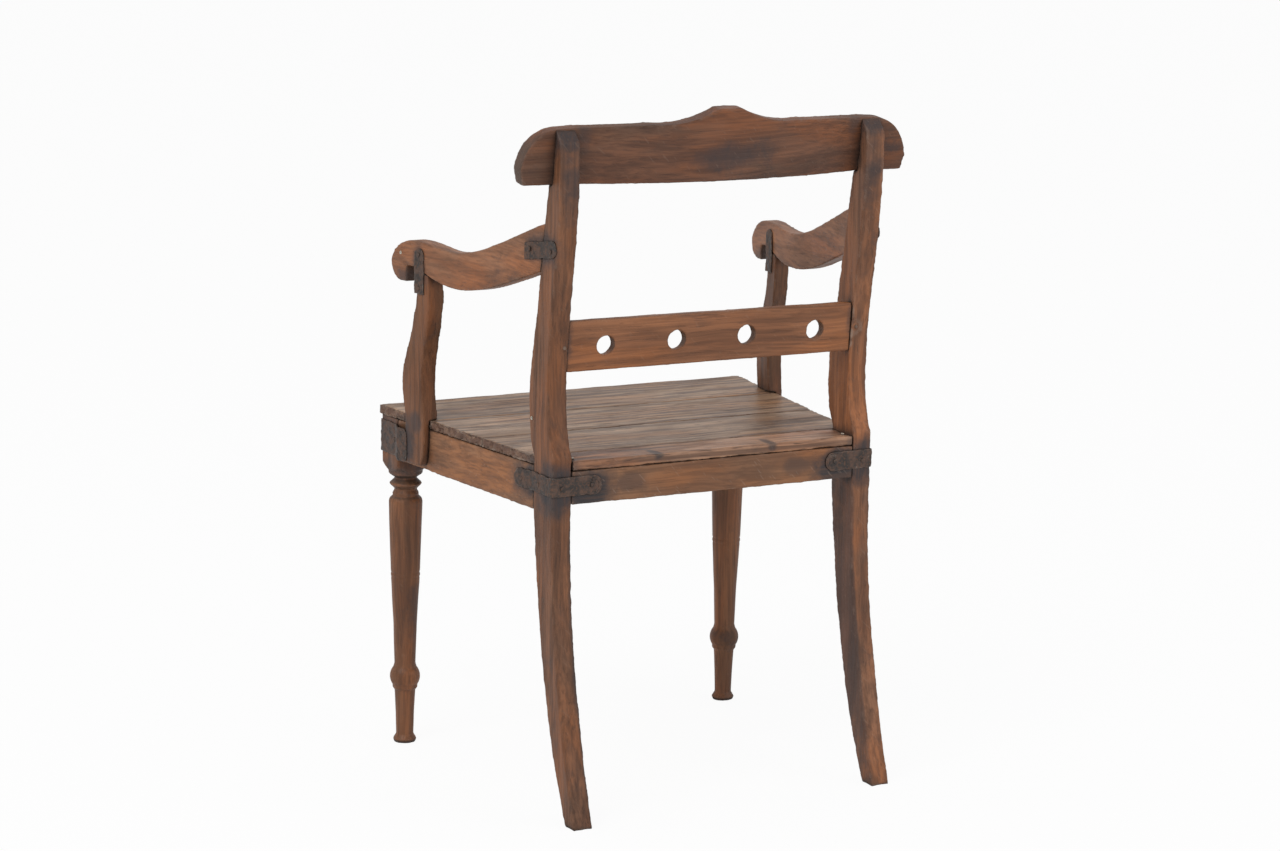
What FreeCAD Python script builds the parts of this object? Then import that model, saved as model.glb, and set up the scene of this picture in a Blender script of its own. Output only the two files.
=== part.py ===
import FreeCAD, Part
import math
import os
import re

import Sketcher
from FreeCAD import Placement, Rotation, Vector

# Colonial open armchair with S-scroll arms, a pierced back rail and a board seat.
# Millimetres. +Z is up, the chair faces -Y and the sitter's left is +X.
# The origin lies on the floor, under the centre of the chair.

# Driving sizes

SIZES = {
    # overall frame
    "seat_height": 450.5,
    "seat_drop": 8.5,
    "seat_depth": 353.2,
    "post_depth": 50.5,
    "foot_kick": 65.2,
    "rear_outer_half": 227.6,
    "front_outer_half": 266.7,
    "stile_width": 26.4,
    "block_width": 46.4,
    # rear leg and stile, set off from the rear face of the post
    "foot_depth": 22.0,
    "sabre_low_height": 120.0,
    "sabre_low_kick": 31.0,
    "sabre_low_set": 5.0,
    "sabre_high_height": 224.0,
    "sabre_high_kick": 10.0,
    "sabre_high_set": 29.5,
    "sabre_rear_top_drop": 105.5,
    "sabre_front_top_drop": 78.5,
    "knee_drop": 3.5,
    "knee_hollow_rise": 19.5,
    "knee_hollow_set": 9.6,
    "waist_rise": 49.5,
    "waist_rear_set": 14.4,
    "waist_front_set": 65.0,
    "stile_mid_rise": 188.5,
    "stile_mid_rear_set": 5.2,
    "stile_line_low_rise": 179.5,
    "stile_line_low_set": 45.5,
    "stile_high_rise": 314.5,
    "stile_high_kick": 10.8,
    "stile_bevel_rise": 378.5,
    "stile_bevel_kick": 10.5,
    "stile_toe_set": 4.0,
    "stile_toe_height": 8.0,
    "crest_joint_set": 20.0,
    # crest rail
    "crest_rise": 326.5,
    "crest_rake": 7.4,
    "crest_set": 11.0,
    "crest_thickness": 20.0,
    "crest_bow_margin": 25.2,
    "crest_bow_radius": 924.0,
    "crest_bow_blend": 32.0,
    "crest_half": 270.5,
    "crest_end_taper": 3.5,
    "crest_corner_radius": 3.0,
    "crest_side_height": 18.0,
    "crest_ear_height": 67.6,
    "crest_ear_width": 51.0,
    "crest_ear_radius": 51.5,
    "crest_sweep_height": 71.5,
    "crest_sweep_half": 100.0,
    "crest_sweep_radius": 160.0,
    "crest_peak_height": 90.0,
    "crest_peak_half": 16.0,
    "crest_peak_foot_half": 22.0,
    "crest_peak_foot_height": 87.0,
    # pierced back rail
    "back_rail_rise": 129.4,
    "back_rail_width": 62.6,
    "back_rail_thickness": 13.0,
    "back_rail_set": 14.6,
    "back_rail_rake": 5.0,
    "back_tenon_margin": 2.0,
    "back_hole_diameter": 24.5,
    "back_hole_spacing": 99.3,
    "back_hole_drop": 0.6,
    # seat rails
    "side_rail_thickness": 24.0,
    "side_rail_front_bottom_drop": 65.5,
    "side_rail_rear_bottom_drop": 74.5,
    "rear_rail_thickness": 26.0,
    "rear_rail_bottom_drop": 61.9,
    "front_rail_thickness": 24.0,
    "front_rail_bottom_drop": 64.5,
    "front_rail_inset": 3.0,
    # joints
    "tenon_thickness": 9.0,
    "tenon_length": 18.0,
    "tenon_shoulder": 7.0,
    "tenon_clearance": 0.2,
    "mortise_end_gap": 1.0,
    # seat boards
    "board_thickness": 12.0,
    "board_front_depth": 122.8,
    "board_gap": 0.8,
    "board_round": 2.5,
    "board_end_inset": 0.4,
    # turned front leg, radii and heights from the floor
    "foot_end_radius": 13.8,
    "foot_radius": 15.4,
    "foot_widest_height": 4.0,
    "foot_height": 11.0,
    "ankle_radius": 11.3,
    "shank_mid_radius": 12.1,
    "shank_mid_height": 41.0,
    "shank_radius": 13.8,
    "shank_top": 71.0,
    "ball_neck_radius": 16.4,
    "ball_fillet_low": 74.0,
    "ball_fillet_top": 78.0,
    "ball_radius": 19.5,
    "ball_top": 101.5,
    "ball_end_radius": 15.4,
    "shaft_low_radius": 13.9,
    "shaft_low_height": 107.0,
    "shaft_mid_radius": 15.5,
    "shaft_mid_height": 160.0,
    "ring_radius": 19.2,
    "ring_height": 226.5,
    "ring_width": 5.6,
    "ring_chamfer": 1.4,
    "groove_depth": 1.1,
    "groove_width": 2.0,
    "groove_lip_radius": 18.8,
    "shaft_top_radius": 22.0,
    "shaft_top_drop": 126.5,
    "shoulder_radius": 21.2,
    "shoulder_drop": 122.4,
    "shoulder_end_radius": 18.2,
    "shoulder_end_drop": 119.5,
    "bead_radius": 17.6,
    "bead_root_radius": 16.2,
    "bead_drop": 115.8,
    "bead_half_width": 2.7,
    "neck_radius": 14.2,
    "neck_drop": 109.7,
    "edge_ring_radius": 21.2,
    "edge_ring_drop": 102.3,
    "edge_ring_flat": 1.2,
    "upper_neck_radius": 13.6,
    "upper_neck_drop": 94.7,
    "collar_radius": 22.3,
    "collar_drop": 89.5,
    "collar_chamfer": 1.0,
    "pommel_drop": 84.5,
    "pommel_rise": 9.0,
    "pommel_reach": 32.5,
    # arms, in side view set off from the rear face of the post
    "arm_thickness": 21.5,
    "arm_overhang": 11.6,
    "arm_reach": 353.0,
    "arm_top_rise": 279.3,
    "arm_bottom_rise": 219.5,
    "arm_fall_rise": 249.0,
    "arm_fall_set": 110.0,
    "arm_dip_rise": 221.0,
    "arm_dip_set": 225.0,
    "arm_crown_rise": 226.6,
    "arm_crown_set": 295.0,
    "arm_brow_rise": 219.3,
    "arm_brow_set": 333.0,
    "nose_rise": 194.5,
    "nose_chin_rise": 176.5,
    "nose_chin_set": 344.5,
    "nose_bottom_set": 333.0,
    "arm_rise_rise": 192.5,
    "arm_rise_set": 120.0,
    "arm_belly_rise": 176.4,
    "arm_belly_set": 196.0,
    "arm_tenon_reach": 14.0,
    "nose_bottom_rise": 171.9,
    "nose_notch_rise": 192.1,
    "nose_notch_set": 320.0,
    # arm supports
    "support_top_front_set": 302.0,
    "support_top_rear_set": 272.5,
    "support_top_rear_rise": 184.5,
    "support_neck_rise": 149.5,
    "support_neck_front_set": 298.0,
    "support_neck_rear_set": 269.6,
    "support_belly_rise": 39.5,
    "support_belly_front_set": 327.3,
    "support_belly_rear_set": 286.0,
    "support_bulge_rise": 83.5,
    "support_bulge_front_set": 318.5,
    "support_bulge_rear_set": 281.5,
    "tongue_waist_rise": 7.5,
    "tongue_waist_front_set": 323.0,
    "tongue_waist_rear_set": 282.5,
    "tongue_front_set": 335.0,
    "tongue_rear_set": 286.0,
    "tongue_bottom_drop": 61.0,
    "support_tenon_inset": 6.0,
    "support_tenon_height": 14.0,
    # iron work
    "strap_thickness": 1.6,
    "strap_bend_radius": 3.0,
    "rear_strap_bottom_drop": 50.7,
    "rear_strap_width": 23.9,
    "rear_strap_reach": 67.5,
    "rear_strap_side_reach": 89.0,
    "rear_strap_end_radius": 11.6,
    "front_strap_bottom_drop": 61.0,
    "front_strap_width": 42.0,
    "front_strap_reach": 36.0,
    "front_strap_end_set": 314.0,
    "front_strap_end_radius": 7.0,
    "front_strap_end_margin": 1.5,
    "arm_strap_width": 20.5,
    "arm_strap_lift": 241.5,
    "arm_strap_rise": 8.6,
    "arm_strap_front_set": 68.0,
    "arm_strap_rear_set": 3.5,
    "arm_strap_end_radius": 10.0,
    "arm_plate_width": 19.0,
    "arm_plate_bottom_rise": 160.0,
    "arm_plate_top_rise": 217.5,
    "arm_plate_rear_set": 279.5,
    "notch_lead": 1.0,
    "saw_margin": 5.0,
    # fastenings
    "peg_diameter": 5.4,
    "peg_clearance": 0.1,
    "back_peg_length": 26.0,
    "back_peg_inset": 6.0,
    "back_peg_set": 10.6,
    "crest_peg_depth": 10.0,
    "crest_peg_inset": 12.3,
    "crest_peg_low": 16.0,
    "crest_peg_spacing": 28.0,
}

# Lengths that follow from the driving sizes

DERIVED = {
    # heights, measured from the seat
    "sabre_rear_top": "seat_height - sabre_rear_top_drop",
    "sabre_front_top": "seat_height - sabre_front_top_drop",
    "knee_height": "seat_height - knee_drop",
    "knee_hollow_height": "seat_height + knee_hollow_rise",
    "waist_height": "seat_height + waist_rise",
    "stile_mid_height": "seat_height + stile_mid_rise",
    "stile_line_low": "seat_height + stile_line_low_rise",
    "stile_high_height": "seat_height + stile_high_rise",
    "stile_bevel_height": "seat_height + stile_bevel_rise",
    "crest_height": "seat_height + crest_rise",
    "back_rail_height": "seat_height + back_rail_rise",
    "side_rail_front_bottom": "seat_height - side_rail_front_bottom_drop",
    "side_rail_rear_bottom": "seat_height - side_rail_rear_bottom_drop",
    "rear_rail_bottom": "seat_height - rear_rail_bottom_drop",
    "front_rail_bottom": "seat_height - front_rail_bottom_drop",
    "shaft_top_height": "seat_height - shaft_top_drop",
    "shoulder_height": "seat_height - shoulder_drop",
    "shoulder_end_height": "seat_height - shoulder_end_drop",
    "bead_height": "seat_height - bead_drop",
    "neck_height": "seat_height - neck_drop",
    "edge_ring_height": "seat_height - edge_ring_drop",
    "upper_neck_height": "seat_height - upper_neck_drop",
    "collar_height": "seat_height - collar_drop",
    "pommel_height": "seat_height - pommel_drop",
    "arm_top_height": "seat_height + arm_top_rise",
    "arm_bottom_height": "seat_height + arm_bottom_rise",
    "arm_fall_height": "seat_height + arm_fall_rise",
    "arm_dip_height": "seat_height + arm_dip_rise",
    "arm_crown_height": "seat_height + arm_crown_rise",
    "arm_brow_height": "seat_height + arm_brow_rise",
    "nose_height": "seat_height + nose_rise",
    "nose_chin_height": "seat_height + nose_chin_rise",
    "arm_rise_height": "seat_height + arm_rise_rise",
    "arm_belly_height": "seat_height + arm_belly_rise",
    "nose_bottom_height": "seat_height + nose_bottom_rise",
    "nose_notch_height": "seat_height + nose_notch_rise",
    "support_top_rear_height": "seat_height + support_top_rear_rise",
    "support_neck_height": "seat_height + support_neck_rise",
    "support_bulge_height": "seat_height + support_bulge_rise",
    "support_belly_height": "seat_height + support_belly_rise",
    "tongue_waist_height": "seat_height + tongue_waist_rise",
    "tongue_bottom": "seat_height - tongue_bottom_drop",
    "rear_strap_bottom": "seat_height - rear_strap_bottom_drop",
    "front_strap_bottom": "seat_height - front_strap_bottom_drop",
    "arm_strap_height": "seat_height + arm_strap_lift",
    "arm_plate_bottom": "seat_height + arm_plate_bottom_rise",
    "arm_plate_top": "seat_height + arm_plate_top_rise",
    "arm_front_half": "front_outer_half + arm_overhang",
    # places and slopes
    "total_depth": "strap_thickness + seat_depth + post_depth + foot_kick",
    "front_face": "strap_thickness - total_depth / 2",
    "block_rear": "front_face + block_width",
    "post_front": "front_face + seat_depth",
    "post_rear": "post_front + post_depth",
    "stile_inner": "rear_outer_half - stile_width",
    "side_splay": "(front_outer_half - rear_outer_half) / (seat_depth - block_width)",
    "leg_axis_x": "front_outer_half - block_width / 2",
    "leg_axis_y": "front_face + block_width / 2",
    "seat_slope": "seat_drop / (seat_depth + post_depth)",
    "seat_angle": "atan(seat_slope)",
    "board_drop": "board_thickness / cos(seat_angle)",
    "block_top": "seat_height - board_drop - seat_slope * block_width",
    "rail_top_front": "seat_height - board_drop - seat_slope * block_width",
    "rail_top_rear": "seat_height - board_drop - seat_slope * seat_depth",
    "seat_top_post": "seat_height - seat_slope * seat_depth",
    "crest_seat_y": "post_rear - crest_set",
    "joint_shoulder_height": "crest_height + tan(crest_rake) * (crest_joint_set - crest_set)",
    "stile_lean": "(stile_line_low_set - crest_joint_set) / (joint_shoulder_height - stile_line_low)",
    "arm_top_y": "post_rear - stile_line_low_set + stile_lean * (arm_top_height - stile_line_low)",
    "arm_bottom_y": "post_rear - stile_line_low_set + stile_lean * (arm_bottom_height - stile_line_low)",
    "arm_bend_y": "(arm_top_y + arm_bottom_y) / 2",
    "arm_nose_y": "post_rear - arm_reach",
    "arm_splay": "(arm_front_half - rear_outer_half) / (arm_bend_y - arm_nose_y)",
    "tongue_front_y": "post_rear - tongue_front_set",
    "board_pitch": "(seat_depth - board_front_depth) / 2",
    "crest_bow_half": "stile_inner - crest_bow_margin",
    "crest_bow_angle": "asin(crest_bow_half / crest_bow_radius)",
    "crest_blend_rise": "crest_bow_blend * tan(crest_bow_angle / 2)",
    "crest_blend_radius": "crest_bow_blend / sin(crest_bow_angle)",
    "crest_blend_end": "crest_bow_half + crest_bow_blend",
    "crest_peg_across": "rear_outer_half - crest_peg_inset",
    "front_inner_half": "front_outer_half - block_width",
}


def bound(text):
    # Writes an expression in sheet cells, with the derived lengths spelled out.
    def spell(match):
        word = match.group(0)
        if word in DERIVED:
            return "(" + bound(DERIVED[word]) + ")"
        return "sizes." + word if word in SIZES else word
    return re.sub(r"[a-z]+(?:_[a-z]+)+", spell, str(text))


def side_edge(y):
    # Outer face of the seat's side at the depth y, where the trapezoid widens forwards.
    return f"(rear_outer_half + side_splay * (post_front - ({y})))"


def arm_face(y):
    # Outer face of the splayed arm at the depth y.
    return f"(rear_outer_half + arm_splay * (arm_bend_y - ({y})))"


def seat_top(y):
    return f"(seat_height - seat_slope * (({y}) - front_face))"


document = FreeCAD.newDocument("armchair")
sheet = document.addObject("Spreadsheet::Sheet", "sizes")
for row, (alias, size) in enumerate(SIZES.items(), start=1):
    sheet.set(f"A{row}", alias)
    sheet.set(f"B{row}", str(size))
    sheet.setAlias(f"B{row}", alias)
document.recompute()


def value(expression):
    return float(sheet.evalExpression(bound(expression)))


# Sketches

def new_sketch(body, name, plane, offset="0"):
    sketch = body.newObject("Sketcher::SketchObject", name)
    support = next(f for f in body.Origin.OriginFeatures if f.Role == plane)
    sketch.AttachmentSupport = [(support, "")]
    sketch.MapMode = "FlatFace"
    sketch.setExpression("AttachmentOffset.Base.z", bound(offset))
    return sketch


def short_arc(start, end, radius):
    # The short arc from start to end, which turns left where the radius is positive.
    chord = end - start
    half = chord.Length / 2
    reach = math.sqrt(radius * radius - half * half)
    across = Vector(-chord.y, chord.x, 0).normalize()
    centre = (start + end) / 2 + across * reach * math.copysign(1, radius)
    first, last = (start, end) if radius > 0 else (end, start)
    circle = Part.Circle(centre, Vector(0, 0, 1), abs(radius))
    return Part.ArcOfCircle(circle, math.atan2(first.y - centre.y, first.x - centre.x),
                            math.atan2(last.y - centre.y, last.x - centre.x))


def add_outline(sketch, corners):
    # A closed outline. Each corner is (u, v, edge) and the edge leads to the next corner:
    # None for a line, a text for an arc's signed radius, a list of points for a smooth curve.
    places = [Vector(value(u), value(v), 0) for u, v, edge in corners]
    ends = []
    for index, (u, v, edge) in enumerate(corners):
        start = places[index]
        end = places[(index + 1) % len(corners)]
        if edge is None:
            curve = Part.LineSegment(start, end)
        elif isinstance(edge, str):
            curve = short_arc(start, end, value(edge))
        else:
            curve = Part.BSplineCurve()
            curve.interpolate([start] + [Vector(value(a), value(b), 0) for a, b in edge] + [end])
        number = sketch.addGeometry(curve, False)
        forward = (sketch.Geometry[number].StartPoint - start).Length < 1e-6
        ends.append((number, 1, 2) if forward else (number, 2, 1))
    for index, (number, first, last) in enumerate(ends):
        following, following_first, _ = ends[(index + 1) % len(ends)]
        sketch.addConstraint(Sketcher.Constraint("Coincident", number, last, following, following_first))
    for (u, v, edge), place, (number, first, last) in zip(corners, places, ends):
        pin_point(sketch, number, first, u, v, place)
        if isinstance(edge, str):
            radius = sketch.addConstraint(Sketcher.Constraint("Radius", number, abs(value(edge))))
            sketch.setExpression(f"Constraints[{radius}]", bound(f"abs({edge})"))


def pin_point(sketch, number, end, u, v, place):
    across = sketch.addConstraint(Sketcher.Constraint("DistanceX", -1, 1, number, end, place.x))
    sketch.setExpression(f"Constraints[{across}]", bound(u))
    along = sketch.addConstraint(Sketcher.Constraint("DistanceY", -1, 1, number, end, place.y))
    sketch.setExpression(f"Constraints[{along}]", bound(v))


def add_circle(sketch, u, v, diameter):
    centre = Vector(value(u), value(v), 0)
    circle = Part.Circle(centre, Vector(0, 0, 1), value(diameter) / 2)
    number = sketch.addGeometry(circle, False)
    size = sketch.addConstraint(Sketcher.Constraint("Diameter", number, value(diameter)))
    sketch.setExpression(f"Constraints[{size}]", bound(diameter))
    pin_point(sketch, number, 3, u, v, centre)


def straight(*points):
    return [(u, v, None) for u, v in points]


def rectangle(left, right, low, high):
    return straight((left, low), (right, low), (right, high), (left, high))


# Features

def new_body(name):
    body = document.addObject("PartDesign::Body", name)
    body.Label = name
    return body


def pad(body, name, sketch, length, reverse=False):
    feature = body.newObject("PartDesign::Pad", name)
    feature.Profile = sketch
    feature.setExpression("Length", bound(length))
    feature.Reversed = reverse
    return feature


def pocket(body, name, sketch, length, reverse=False):
    document.recompute()
    before = body.Shape.Volume
    feature = body.newObject("PartDesign::Pocket", name)
    feature.Profile = sketch
    feature.setExpression("Length", bound(length))
    feature.Reversed = reverse
    document.recompute()
    if body.Shape.Volume > before - 1:
        raise RuntimeError(f"{body.Label}: {name} removes nothing")
    return feature


def pocket_through(body, name, sketch):
    document.recompute()
    before = body.Shape.Volume
    feature = body.newObject("PartDesign::Pocket", name)
    feature.Profile = sketch
    feature.Type = "ThroughAll"
    feature.SideType = "Symmetric"
    document.recompute()
    if body.Shape.Volume > before - 1:
        raise RuntimeError(f"{body.Label}: {name} removes nothing")
    return feature


def loft(body, name, kind, sections):
    feature = body.newObject(kind, name)
    feature.Profile = sections[0]
    feature.Sections = sections[1:]
    feature.Ruled = True
    return feature


def box_along_y(body, name, y, outline, length, forwards):
    # A straight tenon from the plane y: the sketch plane's normal is -Y.
    sketch = new_sketch(body, name + "_sketch", "XZ_Plane", f"-({y})")
    add_outline(sketch, outline)
    return pad(body, name, sketch, length, reverse=not forwards)


def sawn_piece(name, plan, low, high, side_outline):
    # A piece sawn from two sides: the plan gives its thickness and splay, the side view its curves.
    body = new_body(name)
    plan_sketch = new_sketch(body, name + "_plan", "XY_Plane", low)
    add_outline(plan_sketch, plan)
    pad(body, name + "_blank", plan_sketch, f"({high}) - ({low})")
    side_sketch = new_sketch(body, name + "_side", "YZ_Plane")
    add_outline(side_sketch, rectangle("-total_depth", "total_depth",
                                       f"({low}) - total_depth", f"({high}) + total_depth"))
    add_outline(side_sketch, side_outline)
    pocket_through(body, name + "_waste", side_sketch)
    return body


def splayed_plan(side, near, far, front, rear):
    # Plan of a piece that follows the arm's splay, between two distances inside its outer face.
    return straight((f"{side} * ({arm_face(front)} - ({near}))", front),
                    (f"{side} * ({arm_face(rear)} - ({near}))", rear),
                    (f"{side} * ({arm_face(rear)} - ({far}))", rear),
                    (f"{side} * ({arm_face(front)} - ({far}))", front))


def mirrored(half):
    # Closes an outline whose right half is given from the bottom upwards.
    corners = list(half)
    for index in range(len(half) - 1, -1, -1):
        u, v, _ = half[index]
        corners.append((f"-({u})", v, half[index - 1][2] if index else None))
    return corners


def set_place(body, x="0", y="0", z="0", turn="0"):
    # Puts a body at a point, turned about X.
    angle = value(turn)
    body.Placement = Placement(Vector(value(x), value(y), value(z)), Rotation(Vector(1, 0, 0), angle))
    for axis, length in (("x", x), ("y", y), ("z", z)):
        body.setExpression(f"Placement.Base.{axis}", bound(length))
    if abs(angle) > 1e-9:
        body.setExpression("Placement.Rotation.Angle", bound(turn))


def round_edges(body, name, radius, wanted):
    # Rounds the edges that pass the test.
    document.recompute()
    base = body.Tip
    names = [f"Edge{number}" for number, edge in enumerate(base.Shape.Edges, start=1) if wanted(edge)]
    if not names:
        raise RuntimeError(f"{body.Label}: {name} finds no edge")
    feature = body.newObject("PartDesign::Fillet", name)
    feature.Base = (base, names)
    feature.setExpression("Radius", bound(radius))
    return feature


def lies_at(edge, axis, place):
    return all(abs(abs(getattr(vertex.Point, axis)) - abs(place)) < 1e-6 for vertex in edge.Vertexes)


# Rear legs: a sabre leg, a square post and a raked stile in one piece

def rear_leg_outline():
    return [
        ("post_rear + foot_kick", "0", [("post_rear + sabre_low_kick", "sabre_low_height"),
                                        ("post_rear + sabre_high_kick", "sabre_high_height")]),
        ("post_rear", "sabre_rear_top", None),
        ("post_rear", "knee_height", [("post_rear - knee_hollow_set", "knee_hollow_height"),
                                      ("post_rear - waist_rear_set", "waist_height"),
                                      ("post_rear - stile_mid_rear_set", "stile_mid_height"),
                                      ("post_rear + stile_high_kick", "stile_high_height")]),
        ("post_rear + stile_bevel_kick", "stile_bevel_height", None),
        ("crest_seat_y + sin(crest_rake) * crest_ear_height",
         "crest_height + cos(crest_rake) * crest_ear_height", None),
        ("crest_seat_y", "crest_height", None),
        ("post_rear - crest_joint_set", "joint_shoulder_height", None),
        ("post_rear - stile_line_low_set", "stile_line_low", [
            ("post_rear - waist_front_set", "waist_height"),
            ("post_front - stile_toe_set", "seat_top_post + stile_toe_height")]),
        ("post_front", "seat_top_post + board_gap / 2", None),
        ("post_front", "sabre_front_top", [("post_rear - sabre_high_set", "sabre_high_height"),
                                           ("post_rear - sabre_low_set", "sabre_low_height")]),
        ("post_rear + foot_kick - foot_depth", "0", None),
    ]


def side_rail_tenon(side, end):
    # Cheeks and shoulders of the side rail's tenon at its front or rear end.
    outer = end + "_outer_half"
    centre = f"{outer} - side_rail_thickness / 2"
    return (f"{side} * ({centre} - tenon_thickness / 2)", f"{side} * ({centre} + tenon_thickness / 2)",
            f"side_rail_{end}_bottom + tenon_shoulder", f"rail_top_{end} - tenon_shoulder")


def rear_rail_tenon():
    centre = "post_rear - rear_rail_thickness / 2"
    return (f"{centre} - tenon_thickness / 2", f"{centre} + tenon_thickness / 2",
            "rear_rail_bottom + tenon_shoulder", "rail_top_rear - seat_slope * post_depth - tenon_shoulder")


def front_rail_tenon(origin="0"):
    centre = f"front_face + front_rail_inset + front_rail_thickness / 2 - ({origin})"
    return (f"{centre} - tenon_thickness / 2", f"{centre} + tenon_thickness / 2",
            "front_rail_bottom + tenon_shoulder", "rail_top_front - tenon_shoulder")


def arm_tenon(side):
    # Cheeks and shoulders of the arm's tenon in the stile.
    centre = "rear_outer_half - stile_width / 2"
    return (f"{side} * ({centre} - tenon_thickness / 2)", f"{side} * ({centre} + tenon_thickness / 2)",
            "arm_bottom_height + tenon_shoulder", "arm_top_height - 2 * tenon_shoulder")


def mortise(left, right, low, high, side=1):
    # Outline of the mortise that takes a tenon with play on all four sides.
    return rectangle(f"{left} - {side} * tenon_clearance", f"{right} + {side} * tenon_clearance",
                     f"{low} - tenon_clearance", f"{high} + tenon_clearance")


def back_rail_section(margin="0", play="0"):
    # Raked section of the pierced rail, or of its tenon where a margin is taken off.
    half = f"(back_rail_width / 2 - 2 * {margin} + {play})"
    lean = f"tan(back_rail_rake) * {half}"
    rear = f"post_rear - back_rail_set - {margin} + {play}"
    front = f"post_rear - back_rail_set - back_rail_thickness + {margin} - {play}"
    return straight((f"{front} - {lean}", f"back_rail_height - {half}"),
                    (f"{rear} - {lean}", f"back_rail_height - {half}"),
                    (f"{rear} + {lean}", f"back_rail_height + {half}"),
                    (f"{front} + {lean}", f"back_rail_height + {half}"))


def crest_frame_sketch(body, name):
    # A sketch in the plane of the crest rail's rear face, with its origin on the rail's lower edge.
    sketch = new_sketch(body, name, "XZ_Plane", "-crest_seat_y")
    sketch.AttachmentOffset = Placement(Vector(0, value("crest_height"), -value("crest_seat_y")),
                                        Rotation(Vector(1, 0, 0), -value("crest_rake")))
    sketch.setExpression("AttachmentOffset.Base.y", bound("crest_height"))
    sketch.setExpression("AttachmentOffset.Rotation.Angle", bound("-crest_rake"))
    return sketch


def add_crest_peg_circles(sketch, sides, diameter):
    for side in sides:
        for rise in ("0", "crest_peg_spacing"):
            add_circle(sketch, f"{side} * crest_peg_across", f"crest_peg_low + {rise}", diameter)


def rear_leg(name, side):
    body = new_body(name)
    profile = new_sketch(body, name + "_profile", "YZ_Plane", f"{side} * stile_inner")
    add_outline(profile, rear_leg_outline())
    pad(body, name + "_blank", profile, "stile_width", reverse=side < 0)
    inward = f"{side} * stile_inner"
    depth = "tenon_length + mortise_end_gap"

    side_mortise = new_sketch(body, name + "_side_mortise_mouth", "XZ_Plane", "-(post_front)")
    add_outline(side_mortise, mortise(*side_rail_tenon(side, "rear"), side))
    pocket(body, name + "_side_mortise", side_mortise, depth)

    rear_mortise = new_sketch(body, name + "_rear_mortise_mouth", "YZ_Plane", inward)
    add_outline(rear_mortise, mortise(*rear_rail_tenon()))
    pocket(body, name + "_rear_mortise", rear_mortise, depth, reverse=side > 0)

    back_mortise = new_sketch(body, name + "_back_mortise_mouth", "YZ_Plane", inward)
    add_outline(back_mortise, back_rail_section("back_tenon_margin", "tenon_clearance"))
    pocket(body, name + "_back_mortise", back_mortise, depth, reverse=side > 0)

    arm_mortise = new_sketch(body, name + "_arm_mortise_mouth", "XZ_Plane", "-(arm_bottom_y)")
    add_outline(arm_mortise, mortise(*arm_tenon(side), side))
    pocket(body, name + "_arm_mortise", arm_mortise,
           "arm_top_y - arm_bottom_y + arm_tenon_reach + mortise_end_gap")

    back_peg = new_sketch(body, name + "_back_peg_hole_mouth", "XZ_Plane", "-(post_rear)")
    add_circle(back_peg, f"{side} * (stile_inner + back_peg_inset)", "back_rail_height",
               "peg_diameter + 2 * peg_clearance")
    pocket(body, name + "_back_peg_hole", back_peg,
           "back_peg_set + back_peg_length + mortise_end_gap", reverse=True)

    crest_pegs = crest_frame_sketch(body, name + "_crest_peg_hole_mouths")
    add_crest_peg_circles(crest_pegs, [side], "peg_diameter + 2 * peg_clearance")
    pocket(body, name + "_crest_peg_holes", crest_pegs, "post_depth")
    return body


# Front legs: a turned shaft under a square block, one piece each

def turned_profile():
    # Radius and height of each step of the turning, from the floor up.
    ring_low = "ring_height - ring_width / 2"
    ring_high = "ring_height + ring_width / 2"
    return [
        ("0", "0", None),
        ("foot_end_radius", "0", None),
        ("foot_radius", "foot_widest_height", None),
        ("ankle_radius", "foot_height", None),
        ("shank_mid_radius", "shank_mid_height", None),
        ("shank_radius", "shank_top", None),
        ("ball_neck_radius", "ball_fillet_low", None),
        ("ball_neck_radius", "ball_fillet_top", "ball_radius"),
        ("ball_end_radius", "ball_top", None),
        ("shaft_low_radius", "shaft_low_height", None),
        ("shaft_mid_radius", "shaft_mid_height", None),
        ("groove_lip_radius", f"{ring_low} - groove_width", None),
        ("ring_radius - groove_depth", ring_low, None),
        ("ring_radius", f"{ring_low} + ring_chamfer", None),
        ("ring_radius", f"{ring_high} - ring_chamfer", None),
        ("ring_radius - groove_depth", ring_high, None),
        ("ring_radius", f"{ring_high} + groove_width", None),
        ("shaft_top_radius", "shaft_top_height", None),
        ("shoulder_radius", "shoulder_height", None),
        ("shoulder_end_radius", "shoulder_end_height", None),
        ("bead_root_radius", "bead_height - bead_half_width", None),
        ("bead_radius", "bead_height", None),
        ("bead_root_radius", "bead_height + bead_half_width", None),
        ("neck_radius", "neck_height", None),
        ("edge_ring_radius", "edge_ring_height - edge_ring_flat / 2", None),
        ("edge_ring_radius", "edge_ring_height + edge_ring_flat / 2", None),
        ("upper_neck_radius", "upper_neck_height", None),
        ("collar_radius - collar_chamfer", "collar_height", None),
        ("collar_radius", "collar_height + collar_chamfer", None),
        ("collar_radius", "pommel_height", None),
        ("0", "pommel_height", None),
    ]


def turn_about_z(body, name, kind, sketch):
    feature = body.newObject(kind, name)
    feature.Profile = sketch
    feature.ReferenceAxis = (sketch, ["V_Axis"])
    feature.Angle = 360
    return feature


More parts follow.
